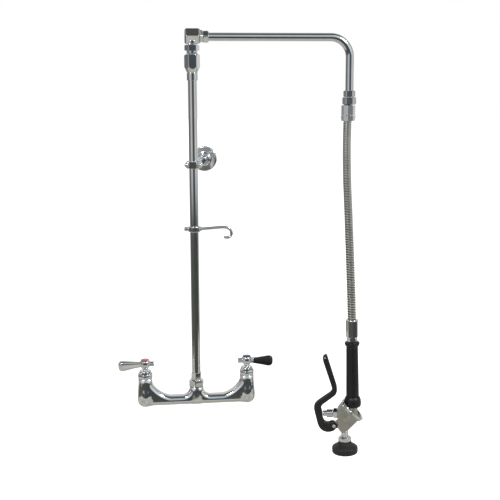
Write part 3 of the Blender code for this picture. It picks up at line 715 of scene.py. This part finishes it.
def base_outline():
    """The casting seen from the front: a bar, two columns and the middle boss."""
    outer, corner = COLUMN_X + 15.0, 12
    left_wall, right_wall = COLUMN_X - 12.2, COLUMN_X + 12.2
    right = arc((outer - corner, 2.7), corner, -90, 0, 8)
    right += [(outer, 9), (right_wall, 40), (right_wall, 45.7), (left_wall, 45.7)]
    right += hollow_corner((left_wall, 40), (52, 9.7), 1.5)
    right += reversed(hollow_corner((12.5, 24), (27, 9.7), 1.8))
    right += [(12.5, 26)]
    return right + [(-x, z) for x, z in reversed(right)]


def base_field(p):
    body = slab_field(p, base_outline(), 12.6, 9.0)
    column = [
        (0, -9.0), (4.0, -9.0), (8.6, -7.8), (11.8, -4.4), (13.2, 0), (13.7, 6), (13.7, 13),
        (13.3, 20), (12.6, 27), (12.1, 34), (12.0, 45.7), (0, 45.7),
    ]
    boss = [(0, -6), (10.0, -6), (12.0, 2), (12.3, 12), (12.5, 20), (12.5, 26), (0, 26)]
    mirrored = p.copy()
    mirrored[:, 0] = np.abs(p[:, 0]) - COLUMN_X
    body = join(body, turned_field(mirrored, column), 7.5)
    belly = np.linalg.norm(moved(mirrored, y=-4.0, z=11.0) / (9.0, 10.8, 18.0), axis=1)
    body = join(body, 9.0 * (belly - 1), 5.0)
    body = join(body, turned_field(p, boss), 6.0)
    inlet = seen_from(mirrored, Y_AXIS)
    body = join(body, rod_field(inlet, 13.0, 0, 28, 1.2), 3.0)
    return cut(body, rod_field(inlet, 10.7, 18, 32), 0.3)


def make_base():
    bm = surface_of(base_field, (-117, -18.5, -10), (117, 28.5, 46.5), 1.0)
    finish("base_body", bm, RISER, material="cast_chrome", sharp=50)
    for side, heat in ((-1, "hot"), (1, "cold")):
        inlet = move(side * COLUMN_X, 0, 0) @ Y_AXIS
        finish(heat + "_inlet_nipple", lathe(ring(7.5, 10.4, -22, 0), 0.8), inlet)
    finish("outlet_washer", lathe(ring(RISER_BORE, 12.2, 26.3, 27.7), 0.3), RISER)
    turn = RISER @ spin(18)
    finish("outlet_nut", nut(15.8, 28.0, 40.2, RISER_BORE, (0.88, 0.7), (0.86, 0.8)), turn)
    finish("riser_nut", nut(10.9, 40.5, 54.8, RISER_BORE, (0.93, 0.6), (0.93, 0.6)), turn)


# ---- valves


DROOP = spin(3.0, "Y")


def handle_profile(shrink=0.0):
    """Half the handle's width along its length, from the hub's axis to the tip."""
    return [
        (0, 4.0), (5.5 - shrink, 4.0), (5.8 - shrink, 12.0), (6.8 - shrink, 20.0),
        (8.4 - shrink, 30.0), (10.0 - shrink, 39.0), (10.7 - shrink, 43.5), (10.7 - shrink, 46.0),
        (10.0 - shrink, 48.6 - shrink), (8.2 - shrink, 51.0 - shrink),
        (5.4 - shrink, 52.5 - shrink), (0, 53.0 - shrink),
    ]


def handle_field(p, shrink=0.0):
    """The tapered handle along local +X: flattened front to back, leaning and drooping a little."""
    squareness, flatness, slope = 3.2, 0.70, 0.8
    q = seen_from(moved(p, z=LEVER_Z), spin(-14.0, "X"))
    q[:, 1] /= flatness
    q = seen_from(q, DROOP @ X_AXIS)
    across = (np.abs(q[:, 0]) ** squareness + np.abs(q[:, 1]) ** squareness) ** (1 / squareness)
    return slope * polygon_distance(across, q[:, 2], handle_profile(shrink), True)


def pocket_field(p, clearance):
    """The space of the insert, open to the front side of the handle."""
    middle, half, depth = 34.0, 20.6, 2.6
    q = seen_from(moved(p, z=LEVER_Z), DROOP)
    along = np.abs(q[:, 0] - middle) - half - clearance
    return np.maximum(along, q[:, 1] - clearance + depth)


def lever_field(p):
    """The hub, its handle and the short stub opposite, without the insert's pocket."""
    hub = [
        (0, 66.0), (5.4, 66.0), (6.2, 67.4), (7.8, 69.6), (9.2, 72.6), (9.9, 76.0), (9.9, 80.6),
        (9.3, 82.6), (8.2, 84.0), (0, 84.0),
    ]
    body = join(turned_field(p, hub), handle_field(p), 1.6)
    stub = seen_from(moved(p, z=LEVER_Z), X_AXIS)
    body = join(body, rod_field(stub, 5.0, -17.8, 0, 1.5), 1.2)
    return cut(body, pocket_field(p, 0.25), 0.3)


def insert_field(p):
    """The black insert, flush with the handle and filling its pocket."""
    return cut(handle_field(p, 0.15), -pocket_field(p, 0.0), 0.8)


def make_valve(side, heat):
    """One tap: side is -1 at the left column and 1 at the right one."""
    column = move(side * COLUMN_X, AXIS_Y, 0)
    cap = nut(16.0, 46.2, 60.0, 6.3, (0.78, 1.0), (0.72, 1.1), rounding=6.0)
    finish(heat + "_bonnet_nut", cap, column @ spin(20), flat=False)
    packing = [(4.3, 60.3), (11.2, 60.3), (12.0, 61.2), (11.9, 62.4), (10.6, 63.3), (4.3, 63.4)]
    finish(heat + "_packing_nut", lathe(packing, 0.5), column, flat=False)
    stem = [(0, 17), (4.0, 17), (4.0, 80), (0, 80)]
    finish(heat + "_stem", lathe(stem, 0.2), column, slot="chrome")

    facing = column @ spin(180 if side < 0 else 0)
    lever = surface_of(lever_field, (-18.5, -11, 62), (54, 11, 85), 0.55)
    finish(heat + "_lever", lever, facing, sharp=42)
    insert = surface_of(insert_field, (12, -9, 62), (54, 0, 86), 0.5)
    finish(heat + "_lever_insert", insert, facing, sharp=50)
    button = [(0, 0), (8.0, 0), (8.0, 0.7), (7.2, 1.4), (4.0, 1.85), (0, 2.0)]
    finish(heat + "_index", lathe(button, 0.3), facing @ move(z=84.3))


# ---- riser, swivel and arm


def make_riser():
    finish("riser", lathe(ring(6.35, RISER_RADIUS, 16.0, 660.0), 0.2), RISER)
    finish("riser_collar", lathe(ring(RISER_BORE, 10.45, 630.0, 644.1), 0.7), RISER)
    barrel = nut(15.2, 644.4, 681.0, RISER_BORE, (0.67, 2.2), (0.67, 0.95), 1.6)
    finish("swivel_barrel", barrel, RISER)
    bore, shank, waist = 4.6, 8.45, 7.4
    stem = [(bore, 661), (shank, 661), (shank, 681.3), (10.3, 681.3)]
    stem += [(10.3, 684.8), (waist, 684.8), (waist, 703), (bore, 703)]
    finish("swivel_stem", lathe(stem, 0.4), RISER)
    finish("swivel_nut", nut(14.4, 685.1, 695.8, 7.7, (0.90, 0.7), (0.90, 0.7)), RISER)


def hex_bar(half_height, stations):
    """A hexagonal bar along X with a corner to the front; stations are (x, share of size)."""
    bm = bmesh.new()
    rings = []
    for x, share in stations:
        loop = []
        for i in range(6):
            angle = math.pi / 3 * i
            across = 2 / math.sqrt(3) * half_height * share
            loop.append(bm.verts.new((x, across * math.cos(angle), across * math.sin(angle))))
        rings.append(loop)
    return skin(bm, rings)


def make_elbow():
    """A hexagonal elbow, level ridge to the front, with a round neck towards each pipe."""
    bm = hex_bar(14.3, [(-13.6, 0.86), (-11.4, 1.0), (12.4, 1.0), (15.4, 0.82), (20.2, 0.72)])
    bmesh.ops.bevel(bm, geom=bm.edges[:], offset=0.5, segments=2, profile=0.5, affect="EDGES")
    finish("elbow", bm, RISER @ move(z=ARM_Z + 0.9), material="cast_chrome", sharp=40)
    neck = [(7.7, 697.1), (11.4, 697.1), (12.4, 698.2), (12.4, 704.0), (7.7, 704.0)]
    finish("elbow", lathe(neck, 0.5), RISER, name="elbow_neck")
    arm_nut = nut(12.6, 20.6, 31.6, ARM_BORE, (0.84, 0.8), (0.80, 1.0), rounding=2.4)
    finish("arm_nut", arm_nut, move(0, AXIS_Y, ARM_Z) @ X_AXIS @ spin(30))


def make_arm():
    """The overhead tube, its bend and drop, and the fittings down to the hose."""
    start_x, end_z = 10.4, 600.5
    bend = arc((ARM_REACH - ARM_BEND, ARM_Z - ARM_BEND), ARM_BEND, 90, 0, 36)
    (bend_x, _), (_, bend_z) = bend[0], bend[-1]
    straight = [(start_x + (bend_x - start_x) * i / 12, ARM_Z) for i in range(12)]
    drop = [(ARM_REACH, bend_z + (end_z - bend_z) * i / 6) for i in range(1, 7)]
    path = [(x, AXIS_Y, z) for x, z in straight + bend + drop]
    finish("arm_tube", sweep(path, lambda i: ARM_RADIUS, 64), sharp=50)
    below = move(ARM_REACH, AXIS_Y, 0) @ spin(-13)
    drop_nut = nut(11.9, 597.6, 609.8, ARM_BORE, (0.88, 0.9), (0.88, 0.9), rounding=2.0)
    finish("drop_nut", drop_nut, below)
    adapter = nut(13.8, 583.2, 597.2, WATERWAY, (0.87, 1.0), (0.87, 1.0), rounding=2.4)
    finish("drop_adapter", adapter, below)
    joint = move(303.2, AXIS_Y, 0) @ spin(31)
    sleeve = nut(13.6, 562.6, 581.8, WATERWAY, (0.97, 0.5), (0.92, 0.8), sides=8)
    finish("hose_coupling", sleeve, joint)
    band = nut(14.0, 551.6, 562.2, WATERWAY, (0.97, 0.5), (0.98, 0.5), sides=8)
    finish("hose_coupling", band, joint, name="hose_coupling_band")
    finish("hose_gasket", lathe(ring(5.4, 9.2, 577.9, 582.9), 0.3), joint)
    finish("swivel_oring", lathe(ring(7.5, 8.5, 668.4, 670.6), 0.5), RISER)


# ---- grip and valve


def make_grip():
    """The hose's lower end, the black grip and the waterway tube inside it."""
    turn = GRIP @ spin(8)
    sleeve = nut(12.9, 151.2, 184.2, WATERWAY, (0.95, 0.8), (0.97, 0.5), sides=8)
    finish("hose_ferrule", sleeve, turn)
    lip = [(8.0, 184.5), (12.2, 184.5), (12.6, 185.2), (12.2, 186.4), (9.4, 187.4), (8.0, 187.4)]
    finish("hose_ferrule", lathe(lip, 0.4), GRIP, name="hose_ferrule_lip")
    finish("ferrule_nut", nut(11.4, 141.6, 150.9, GRIP_BORE, (0.93, 0.6), (0.90, 0.8)), turn)
    flange = [
        (GRIP_BORE, 131.0), (12.4, 131.0), (14.4, 133.6), (15.3, 136.4), (15.0, 139.2),
        (13.2, 141.0), (GRIP_BORE, 141.3),
    ]
    finish("grip_ring", lathe(flange, 1.2), GRIP)
    grip = [(GRIP_BORE, 25.0), (13.1, 25.0), (12.9, 45), (12.5, 80), (12.05, 128.5)]
    grip += [(11.6, 130.7), (GRIP_BORE, 130.7)]
    finish("grip", lathe(grip, 0.6), GRIP)
    collar = [
        (GRIP_BORE, 3.2), (14.9, 3.2), (16.4, 4.2), (17.2, 7.2), (17.4, 12.0), (17.0, 17.0),
        (16.4, 20.0), (15.2, 22.6), (13.7, 24.7), (GRIP_BORE, 24.7),
    ]
    finish("grip_collar", lathe(collar, 0.7), GRIP, material="black_rubber")
    finish("grip_tube", lathe(ring(4.8, 6.6, -11.5, 150.8), 0.2), GRIP)


def body_field(p):
    """The valve's casting in the grip's frame: head, ring seat, plunger port, collar and ear."""
    outline = [
        (-31.0, -3.0), (-20.5, 11.0), (9.5, -21.5), (8.5, -26.1), (-8.1, -42.9), (-12.5, -47.0),
        (-17.5, -50.2), (-22.5, -50.2), (-27.5, -46.0), (-30.6, -41.0),
    ]
    body = slab_field(p, outline, 15.0, 2.6)
    seat = [(0, -22), (15.0, -22), (16.0, -6.6), (26.8, -3.4), (27.0, 0), (0, 0)]
    local = seen_from(p, GRIP.inverted() @ SEAT)
    body = join(body, turned_field(local, seat), 1.6)
    port = seen_from(p, GRIP.inverted() @ PORT)
    body = join(body, rod_field(port, 11.0, -31.5, -20, 0.8), 2.0)
    body = cut(body, rod_field(p, 17.9, -0.3, 40), 0.5)
    body = join(body, rod_field(p, 10.2, -14, 2.6, 0.6), 1.2)
    ear = seen_from(p, GRIP.inverted() @ PIVOT @ Y_AXIS)
    body = join(body, rod_field(ear, 6.8, -3.2, 3.2, 0.6), 1.0)
    web = [(-40, -32), (-29, -24), (-29, -44), (-39, -44.6)]
    body = join(body, slab_field(p, web, 3.1, 0.6), 1.0)
    return cut(body, rod_field(p, GRIP_BORE, -11.8, 9), 0.3)


def make_spray_body():
    bm = surface_of(body_field, (-47, -28, -53), (22, 28, 19), 0.8)
    finish("spray_body", bm, GRIP, sharp=38)
    hoop = [(24.6, 0.3), (28.7, 0.3), (28.7, 4.7), (26.0, 4.7), (24.6, 2.0)]
    finish("spray_ring", lathe(hoop, 1.2, 128), SEAT)


def make_spray_valve():
    """The plunger's bonnet and plunger, and the neck, nut, bumper and face below the head."""
    bonnet = [(6.2, -53.4), (7.8, -53.4), (8.5, -52.4), (8.5, -41.6)]
    bonnet += [(7.6, -41.2), (7.6, -39.8), (7.2, -39.8), (6.2, -39.8)]
    finish("valve_bonnet", lathe(bonnet, 0.3), PORT)
    hexagon = nut(11.1, -39.6, -31.8, 7.2, (0.86, 0.7), (0.86, 0.7))
    finish("valve_bonnet", hexagon, PORT, name="valve_bonnet_nut")
    plunger = [(0, -61.6), (3.6, -61.6), (5.0, -61.0), (5.9, -59.6), (5.9, -31.0)]
    plunger += [(2.2, -30.6), (2.2, -19.0), (0, -19.0)]
    finish("plunger", lathe(plunger, 0.4), PORT)
    finish("spray_neck", lathe(ring(4.6, 7.3, -61.6, -50.5), 0.3), NOZZLE)
    spray_nut = nut(13.9, -71.6, -61.9, 4.6, (0.88, 0.6), (0.80, 1.0))
    finish("spray_nut", spray_nut, NOZZLE @ spin(10))
    bumper = [
        (5.0, -71.9), (12.6, -71.9), (13.7, -72.8), (13.7, -75.6), (14.8, -77.0), (24.6, -83.0),
        (26.4, -84.8), (26.7, -86.4), (26.7, -94.2), (26.1, -96.2), (24.6, -97.0), (21.2, -97.0),
        (20.4, -96.2), (20.4, -90.0), (5.0, -90.0),
    ]
    finish("spray_bumper", lathe(bumper, 0.6, 128), NOZZLE, material="pale_rubber")
    face = [(0, -94.6), (18.6, -94.6), (19.8, -93.8), (20.1, -90.3), (0, -90.3)]
    finish("spray_face", lathe(face, 0.4), NOZZLE)
    make_jets()


def make_jets():
    """The small nozzles that stand out of the spray face, in rings."""
    bm = bmesh.new()
    for ring_radius, count in ((4.5, 6), (9.5, 12), (14.5, 18)):
        for i in range(count):
            angle = math.tau * i / count
            tip = lathe([(0.45, -95.4), (0.95, -95.4), (1.3, -94.2), (0.45, -94.2)], 0.1, 16)
            tip.transform(move(ring_radius * math.cos(angle), ring_radius * math.sin(angle), 0))
            part = bpy.data.meshes.new("jet")
            tip.to_mesh(part)
            tip.free()
            bm.from_mesh(part)
            bpy.data.meshes.remove(part)
    finish("spray_face", bm, NOZZLE, name="spray_jets")


def lever_outline():
    """The squeeze lever's side view, about its pivot."""
    outer = [(-58.6, 111.0), (-59.7, 108.4), (-59.8, 104.0), (-59.0, 98.6), (-43.8, 49.4)]
    outer += [(-42.0, 42.0), (-42.4, 38.0), (-45.0, 34.4), (-68.6, 17.6), (-73.6, 13.6)]
    outer += [(-77.4, 8.8), (-79.4, 3.4), (-79.4, -3.0), (-78.0, -9.6), (-72.4, -34.4)]
    outer += [(-70.0, -40.4), (-66.0, -46.0), (-60.6, -50.0), (-54.0, -52.0), (-46.0, -51.6)]
    outer += [(-38.6, -49.0)]
    nose = arc((PIVOT_X, PIVOT_Z), 7.2, -50, 60, 8)
    inner = [(-37.0, -29.6), (-40.6, -28.4), (-44.6, -28.8), (-50.0, -30.8), (-54.6, -30.2)]
    inner += [(-58.4, -27.4), (-60.8, -23.0), (-62.0, -17.0), (-62.5, -8.0), (-64.5, 0.0)]
    inner += [(-64.2, 3.6), (-61.8, 7.2), (-37.6, 25.6), (-34.2, 29.2), (-32.0, 34.4)]
    inner += [(-31.4, 40.0), (-32.2, 48.0), (-50.4, 110.4), (-51.4, 113.2), (-53.6, 114.6)]
    return [(x - PIVOT_X, z - PIVOT_Z) for x, z in outer + nose + inner]


def spray_lever_field(p):
    """The lever about its pivot, with the slot that straddles the valve's ear."""
    body = slab_field(p, lever_outline(), 6.5, 3.4)
    slot = np.maximum(np.abs(p[:, 1]) - 3.6, np.hypot(p[:, 0] - 5, p[:, 2] + 3) - 17.5)
    return cut(body, slot, 0.5)


def make_spray_lever():
    bm = surface_of(spray_lever_field, (-42, -7.5, -15), (10, 7.5, 155), 0.8)
    finish("spray_lever", bm, PIVOT, sharp=42)
    rivet = [(0, -7.0), (1.1, -6.9), (1.9, -6.5), (1.9, 6.5), (1.1, 6.9), (0, 7.0)]
    tip = GRIP @ move(-55.2, 0, 107.6) @ Y_AXIS
    finish("spray_lever", lathe(rivet, 0.3, 40), tip, name="lever_rivet", slot="chrome")
    half_pin = [(3.9, 6.6), (3.9, 7.1), (3.2, 7.9), (1.6, 8.4), (0, 8.5)]
    pin = [(r, -y) for r, y in reversed(half_pin)] + [(2.0, -6.6), (2.0, 6.6)] + half_pin
    finish("lever_pin", lathe(pin, 0.3, 48), PIVOT @ Y_AXIS)


def make_spring():
    """The return spring round the plunger's rod."""
    turns, steps = 3, 28
    coil, wire = 3.5, 0.4
    start, end = -29.3, -20.2
    pitch = (end - start - 2 * wire) / turns
    path = []
    for i in range(turns * steps + 1):
        angle = math.tau * i / steps
        path.append((coil * math.cos(angle), coil * math.sin(angle), start + wire + pitch * i / steps))
    spring = finish("plunger_spring", sweep(path, lambda i: wire, 12), PORT)
    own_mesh(spring)


# ---- bracket and hook


def plate_field(p, near, far, half_width, half_height, corner, edge):
    """A flat plate with clipped corners and rounded edges, between two depths along local Y."""
    side, end = half_width - corner, half_height - corner
    right = [(side, -half_height), (half_width, -end), (half_width, end), (side, half_height)]
    outline = right + [(-x, z) for x, z in reversed(right)]
    return slab_field(moved(p, y=(near + far) / 2), outline, (far - near) / 2, edge)


def clamp_front_field(p):
    """The front half, with a raised panel whose face leans a little upwards."""
    draft = 0.07
    body = plate_field(p, -12.2, -0.6, 16.2, 7.2, 5.0, 3.4)
    leaning = p.copy()
    leaning[:, 1] += draft * p[:, 2]
    body = join(body, plate_field(leaning, -13.5, -6.0, 7.0, 7.2, 0.8, 0.7), 0.8)
    return cut(body, rod_field(p, RISER_BORE, -20, 20), 0.3)


def clamp_back_field(p):
    """The back half, with the socket that holds the rod."""
    body = plate_field(p, 0.6, 12.0, 16.2, 7.2, 3.6, 1.6)
    boss = seen_from(p, Y_AXIS)
    body = join(body, rod_field(boss, 11.5, 6, 24, 0.8), 1.6)
    body = cut(body, rod_field(boss, RISER_BORE, 13, 30), 0.3)
    return cut(body, rod_field(p, RISER_BORE, -20, 20), 0.3)


def make_bracket():
    front = surface_of(clamp_front_field, (-17, -15, -8), (17, 0.5, 8), 0.5)
    finish("bracket_clamp_front", front, BRACKET, sharp=38)
    back = surface_of(clamp_back_field, (-17, -0.5, -12.5), (17, 25, 12.5), 0.6)
    finish("bracket_clamp_back", back, BRACKET, sharp=38)
    screw = [(0, -15.2), (1.9, -15.2), (3.1, -14.4), (3.4, -13.4)]
    screw += [(3.4, -12.7), (2.0, -12.7), (2.0, 8.0), (0, 8.0)]
    for node, x in (("bracket_screw_left", -12.2), ("bracket_screw_right", 12.2)):
        finish(node, lathe(screw, 0.3, 48), BRACKET @ move(x) @ Y_AXIS)
    finish("bracket_rod", lathe(ring(6.4, RISER_RADIUS, 13.3, 155.0), 0.3), BRACKET_ROD)
    reach = 158.0
    dish = [
        (RISER_BORE, reach - 12), (10.8, reach - 12), (11.8, reach - 11.0), (12.4, reach - 8.0),
        (13.4, reach - 5.0), (15.0, reach - 4.3), (24.4, reach - 4.1), (25.6, reach - 3.4),
        (26.2, reach - 2.0), (26.2, reach), (RISER_BORE, reach),
    ]
    finish("wall_flange", lathe(dish, 0.7, 128), BRACKET_ROD)


HOOK_STEPS = 100


def hook_route():
    return [
        (10.0, -0.2), (18.0, 0.2), (30.0, 0.9), (50.0, 2.2), (61.0, 2.0), (69.0, -1.6),
        (72.6, -8.6), (70.6, -15.4), (64.4, -18.4), (57.4, -16.6),
    ]


def hook_radius(index):
    """The rod's end is rounded off over its last four steps."""
    left = HOOK_STEPS - 1 - index
    return 3.0 * math.sqrt(max(0.02, 1 - max(0.0, 1 - left / 4) ** 2))


def make_hook():
    band = [(RISER_BORE, -5.4), (11.4, -5.4), (12.4, -4.2), (12.4, 4.2), (11.4, 5.4), (RISER_BORE, 5.4)]
    finish("hook_clamp", lathe(band, 0.8), HOOK)
    boss = [(0, 10.0), (4.6, 10.0), (4.6, 13.6), (3.8, 14.5), (0, 14.5)]
    finish("hook_clamp", lathe(boss, 0.4, 48), HOOK @ X_AXIS, name="hook_clamp_boss")
    screw = [(0, -19.6), (3.2, -19.6), (4.4, -18.6), (4.4, -13.2), (2.4, -12.8), (2.0, -9.3), (0, -9.3)]
    finish("hook_screw", lathe(screw, 0.4, 48), HOOK @ X_AXIS)
    path = smooth_path([(x, 0, z) for x, z in hook_route()], HOOK_STEPS)
    finish("hook_rod", sweep(path, hook_radius, 32), HOOK, sharp=60)


# ---- hidden parts


def finish_hidden_parts():
    """The turned parts inside the valves keep their CAD shape and get a real metal."""
    for node, obj in frame["nodes"].items():
        if not obj.hide_render:
            for slot in obj.material_slots:
                slot.material = MATERIALS[SLOT_OF[node]]


# ---- stage and light


def level_sheet(name, corners, drop, shader):
    """A flat sheet at some metres below the faucet."""
    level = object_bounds()[0].z - drop
    mesh = bpy.data.meshes.new(name)
    mesh.from_pydata([(x, y, level) for x, y in corners], [], [range(len(corners))])
    mesh.materials.append(shader.material)
    return add_object(name, mesh)


def make_floor():
    shader = Shader("floor", Roughness=0.9)
    paper = shader.ramp(shader.noise(3), (0.3, (0.93, 0.93, 0.93)), (0.7, (0.96, 0.96, 0.96)))
    shader.feed(paper, "Base Color")
    shader.bsdf.inputs["Emission Color"].default_value = (1, 1, 1, 1)
    shader.bsdf.inputs["Emission Strength"].default_value = 1.0
    floor = level_sheet("floor", arc((0, 0), 30.0, 0, 360, 96)[:-1], 0.30, shader)
    floor.visible_glossy = False
    floor.visible_diffuse = False
    floor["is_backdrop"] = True


def make_card():
    """A lit sheet on the floor, seen only in reflections. It starts 1.14 m before the faucet."""
    left, right, front, back = -1.7, 2.0, AXIS_Y * MM - 1.14, 1.2
    shader = Shader("floor_card", Roughness=1.0)
    patches = shader.noise(2.2, 2)
    light = shader.ramp(patches, (0.3, (0.34, 0.335, 0.30)), (0.7, (0.58, 0.575, 0.54)))
    shader.bsdf.inputs["Base Color"].default_value = (0, 0, 0, 1)
    shader.feed(light, "Emission Color")
    shader.bsdf.inputs["Emission Strength"].default_value = 1.0
    corners = [(left, front), (right, front), (right, back), (left, back)]
    card = level_sheet("floor_card", corners, 0.295, shader)
    card.visible_camera = False
    card.visible_diffuse = False
    card.visible_shadow = False
    card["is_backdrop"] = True


def add_maths(tree, operation, *values):
    node = tree.nodes.new("ShaderNodeMath")
    node.operation = operation
    for socket, value in zip(node.inputs, values):
        if isinstance(value, (int, float)):
            socket.default_value = value
        else:
            tree.links.new(value, socket)
    return node.outputs["Value"]


def compass(*stops):
    """Ramp stops by compass angle from the viewer's side, -180 to 180 degrees."""
    return [(0.5 + angle / 360, colour) for angle, colour in stops]


# The studio round the object, seen only in its reflections: white paper behind, windows to
# both sides of the viewer, a dark gap between them, darkness in front and a dim ceiling.
PAPER = (0.66, 0.67, 0.66)

LEVEL_STOPS = compass(
    (-180, (0.40, 0.41, 0.41)),
    (-128, (0.20, 0.20, 0.20)),
    (-104, (0.10, 0.10, 0.095)),
    (-76, (0.27, 0.275, 0.27)),
    (-48, (0.56, 0.57, 0.58)),
    (-26, (0.42, 0.43, 0.44)),
    (-12, (0.075, 0.085, 0.095)),
    (16, (0.050, 0.068, 0.085)),
    (30, (0.20, 0.20, 0.21)),
    (48, (0.66, 0.65, 0.63)),
    (82, (0.52, 0.51, 0.49)),
    (104, (0.42, 0.42, 0.40)),
    (126, PAPER), (180, PAPER),
)
HIGH_STOPS = compass(
    (-180, PAPER),
    (-125, (0.50, 0.50, 0.50)),
    (-95, (0.16, 0.16, 0.16)),
    (-60, (0.50, 0.53, 0.56)),
    (-22, (0.74, 0.80, 0.86)),
    (-6, (0.40, 0.46, 0.52)),
    (14, (0.50, 0.56, 0.62)),
    (30, (0.84, 0.88, 0.92)),
    (70, (0.62, 0.63, 0.62)),
    (110, (0.34, 0.34, 0.33)),
    (180, PAPER),
)
CEILING_STOPS = compass(
    (-180, (0.30, 0.29, 0.27)),
    (-110, (0.16, 0.16, 0.15)),
    (-70, (0.075, 0.075, 0.07)),
    (70, (0.08, 0.08, 0.075)),
    (110, (0.16, 0.16, 0.15)),
    (180, (0.30, 0.29, 0.27)),
)
LOW_STOPS = compass(
    (-180, (0.40, 0.41, 0.40)),
    (-134, (0.28, 0.28, 0.27)),
    (-114, (0.14, 0.145, 0.13)),
    (-90, (0.075, 0.08, 0.07)),
    (-50, (0.085, 0.088, 0.080)),
    (0, (0.06, 0.066, 0.062)),
    (60, (0.052, 0.056, 0.052)),
    (88, (0.13, 0.13, 0.12)),
    (116, (0.44, 0.44, 0.42)),
    (140, PAPER), (180, PAPER),
)
FLOOR_STOPS = compass(
    (-180, (0.62, 0.61, 0.58)),
    (-60, (0.42, 0.41, 0.38)),
    (0, (0.34, 0.33, 0.30)),
    (60, (0.40, 0.39, 0.36)),
    (180, (0.62, 0.61, 0.58)),
)
UPPER_BANDS = (
    (-62, -50, LOW_STOPS),
    (-9, -5, LEVEL_STOPS),
    (3, 10, HIGH_STOPS),
    (45, 56, CEILING_STOPS),
)


def make_studio():
    world = bpy.data.worlds.new("studio")
    bpy.context.scene.world = world
    world.use_nodes = True
    tree = world.node_tree
    nodes, links = tree.nodes, tree.links
    nodes.clear()
    direction = nodes.new("ShaderNodeTexCoord").outputs["Generated"]
    split = nodes.new("ShaderNodeSeparateXYZ")
    links.new(direction, split.inputs["Vector"])
    toward_viewer = add_maths(tree, "MULTIPLY", split.outputs["Y"], -1.0)
    angle = add_maths(tree, "ARCTAN2", split.outputs["X"], toward_viewer)
    turn = add_maths(tree, "MULTIPLY_ADD", angle, 1 / math.tau, 0.5)
    height = add_maths(tree, "ARCSINE", split.outputs["Z"])
    tilt = add_maths(tree, "MULTIPLY_ADD", height, 1 / math.pi, 0.5)

    def band(low, high):
        """Goes from 0 to 1 between two elevations in degrees."""
        node = nodes.new("ShaderNodeMapRange")
        node.interpolation_type = "SMOOTHSTEP"
        node.inputs["From Min"].default_value = low / 180 + 0.5
        node.inputs["From Max"].default_value = high / 180 + 0.5
        links.new(tilt, node.inputs["Value"])
        return node.outputs["Result"]

    def mixed(share, first, second):
        node = nodes.new("ShaderNodeMix")
        node.data_type = "RGBA"
        links.new(share, node.inputs["Factor"])
        colour_a, colour_b, colour_out = node.inputs[6], node.inputs[7], node.outputs[2]
        links.new(first, colour_a)
        links.new(second, colour_b)
        return colour_out

    colour = add_ramp(tree, turn, FLOOR_STOPS, "EASE")
    for low, high, stops in UPPER_BANDS:
        above = add_ramp(tree, turn, stops, "EASE")
        colour = mixed(band(low, high), colour, above)

    studio = nodes.new("ShaderNodeBackground")
    studio.inputs["Strength"].default_value = 1.0
    links.new(colour, studio.inputs["Color"])
    paper = nodes.new("ShaderNodeBackground")
    paper.inputs["Color"].default_value = (1, 1, 1, 1)
    mix = nodes.new("ShaderNodeMixShader")
    links.new(nodes.new("ShaderNodeLightPath").outputs["Is Camera Ray"], mix.inputs["Fac"])
    links.new(studio.outputs["Background"], mix.inputs[1])
    links.new(paper.outputs["Background"], mix.inputs[2])
    output = nodes.new("ShaderNodeOutputWorld")
    links.new(mix.outputs["Shader"], output.inputs["Surface"])


def add_light(name, place, target, size, watts, colour):
    data = bpy.data.lights.new(name, "AREA")
    data.size = size
    data.energy = watts
    data.color = colour
    light = add_object(name, data)
    light.location = place
    light.rotation_mode = "QUATERNION"
    light.rotation_quaternion = (Vector(target) - Vector(place)).to_track_quat("-Z", "Y")


def make_lights():
    middle = (0.12, -0.04, 0.30)
    add_light("key", (-0.95, -1.5, 1.75), middle, 0.4, 14, (1.0, 0.99, 0.97))
    add_light("side", (1.35, -1.3, 1.6), middle, 0.35, 12, (1.0, 0.98, 0.95))


place_camera()
make_hose()
make_base()
make_valve(-1, "hot")
make_valve(1, "cold")
make_riser()
make_elbow()
make_arm()
make_grip()
make_spray_body()
make_spray_valve()
make_spring()
make_spray_lever()
make_bracket()
make_hook()
finish_hidden_parts()
make_floor()
make_card()
make_studio()
make_lights()
bpy.context.scene.view_settings.view_transform = "Standard"
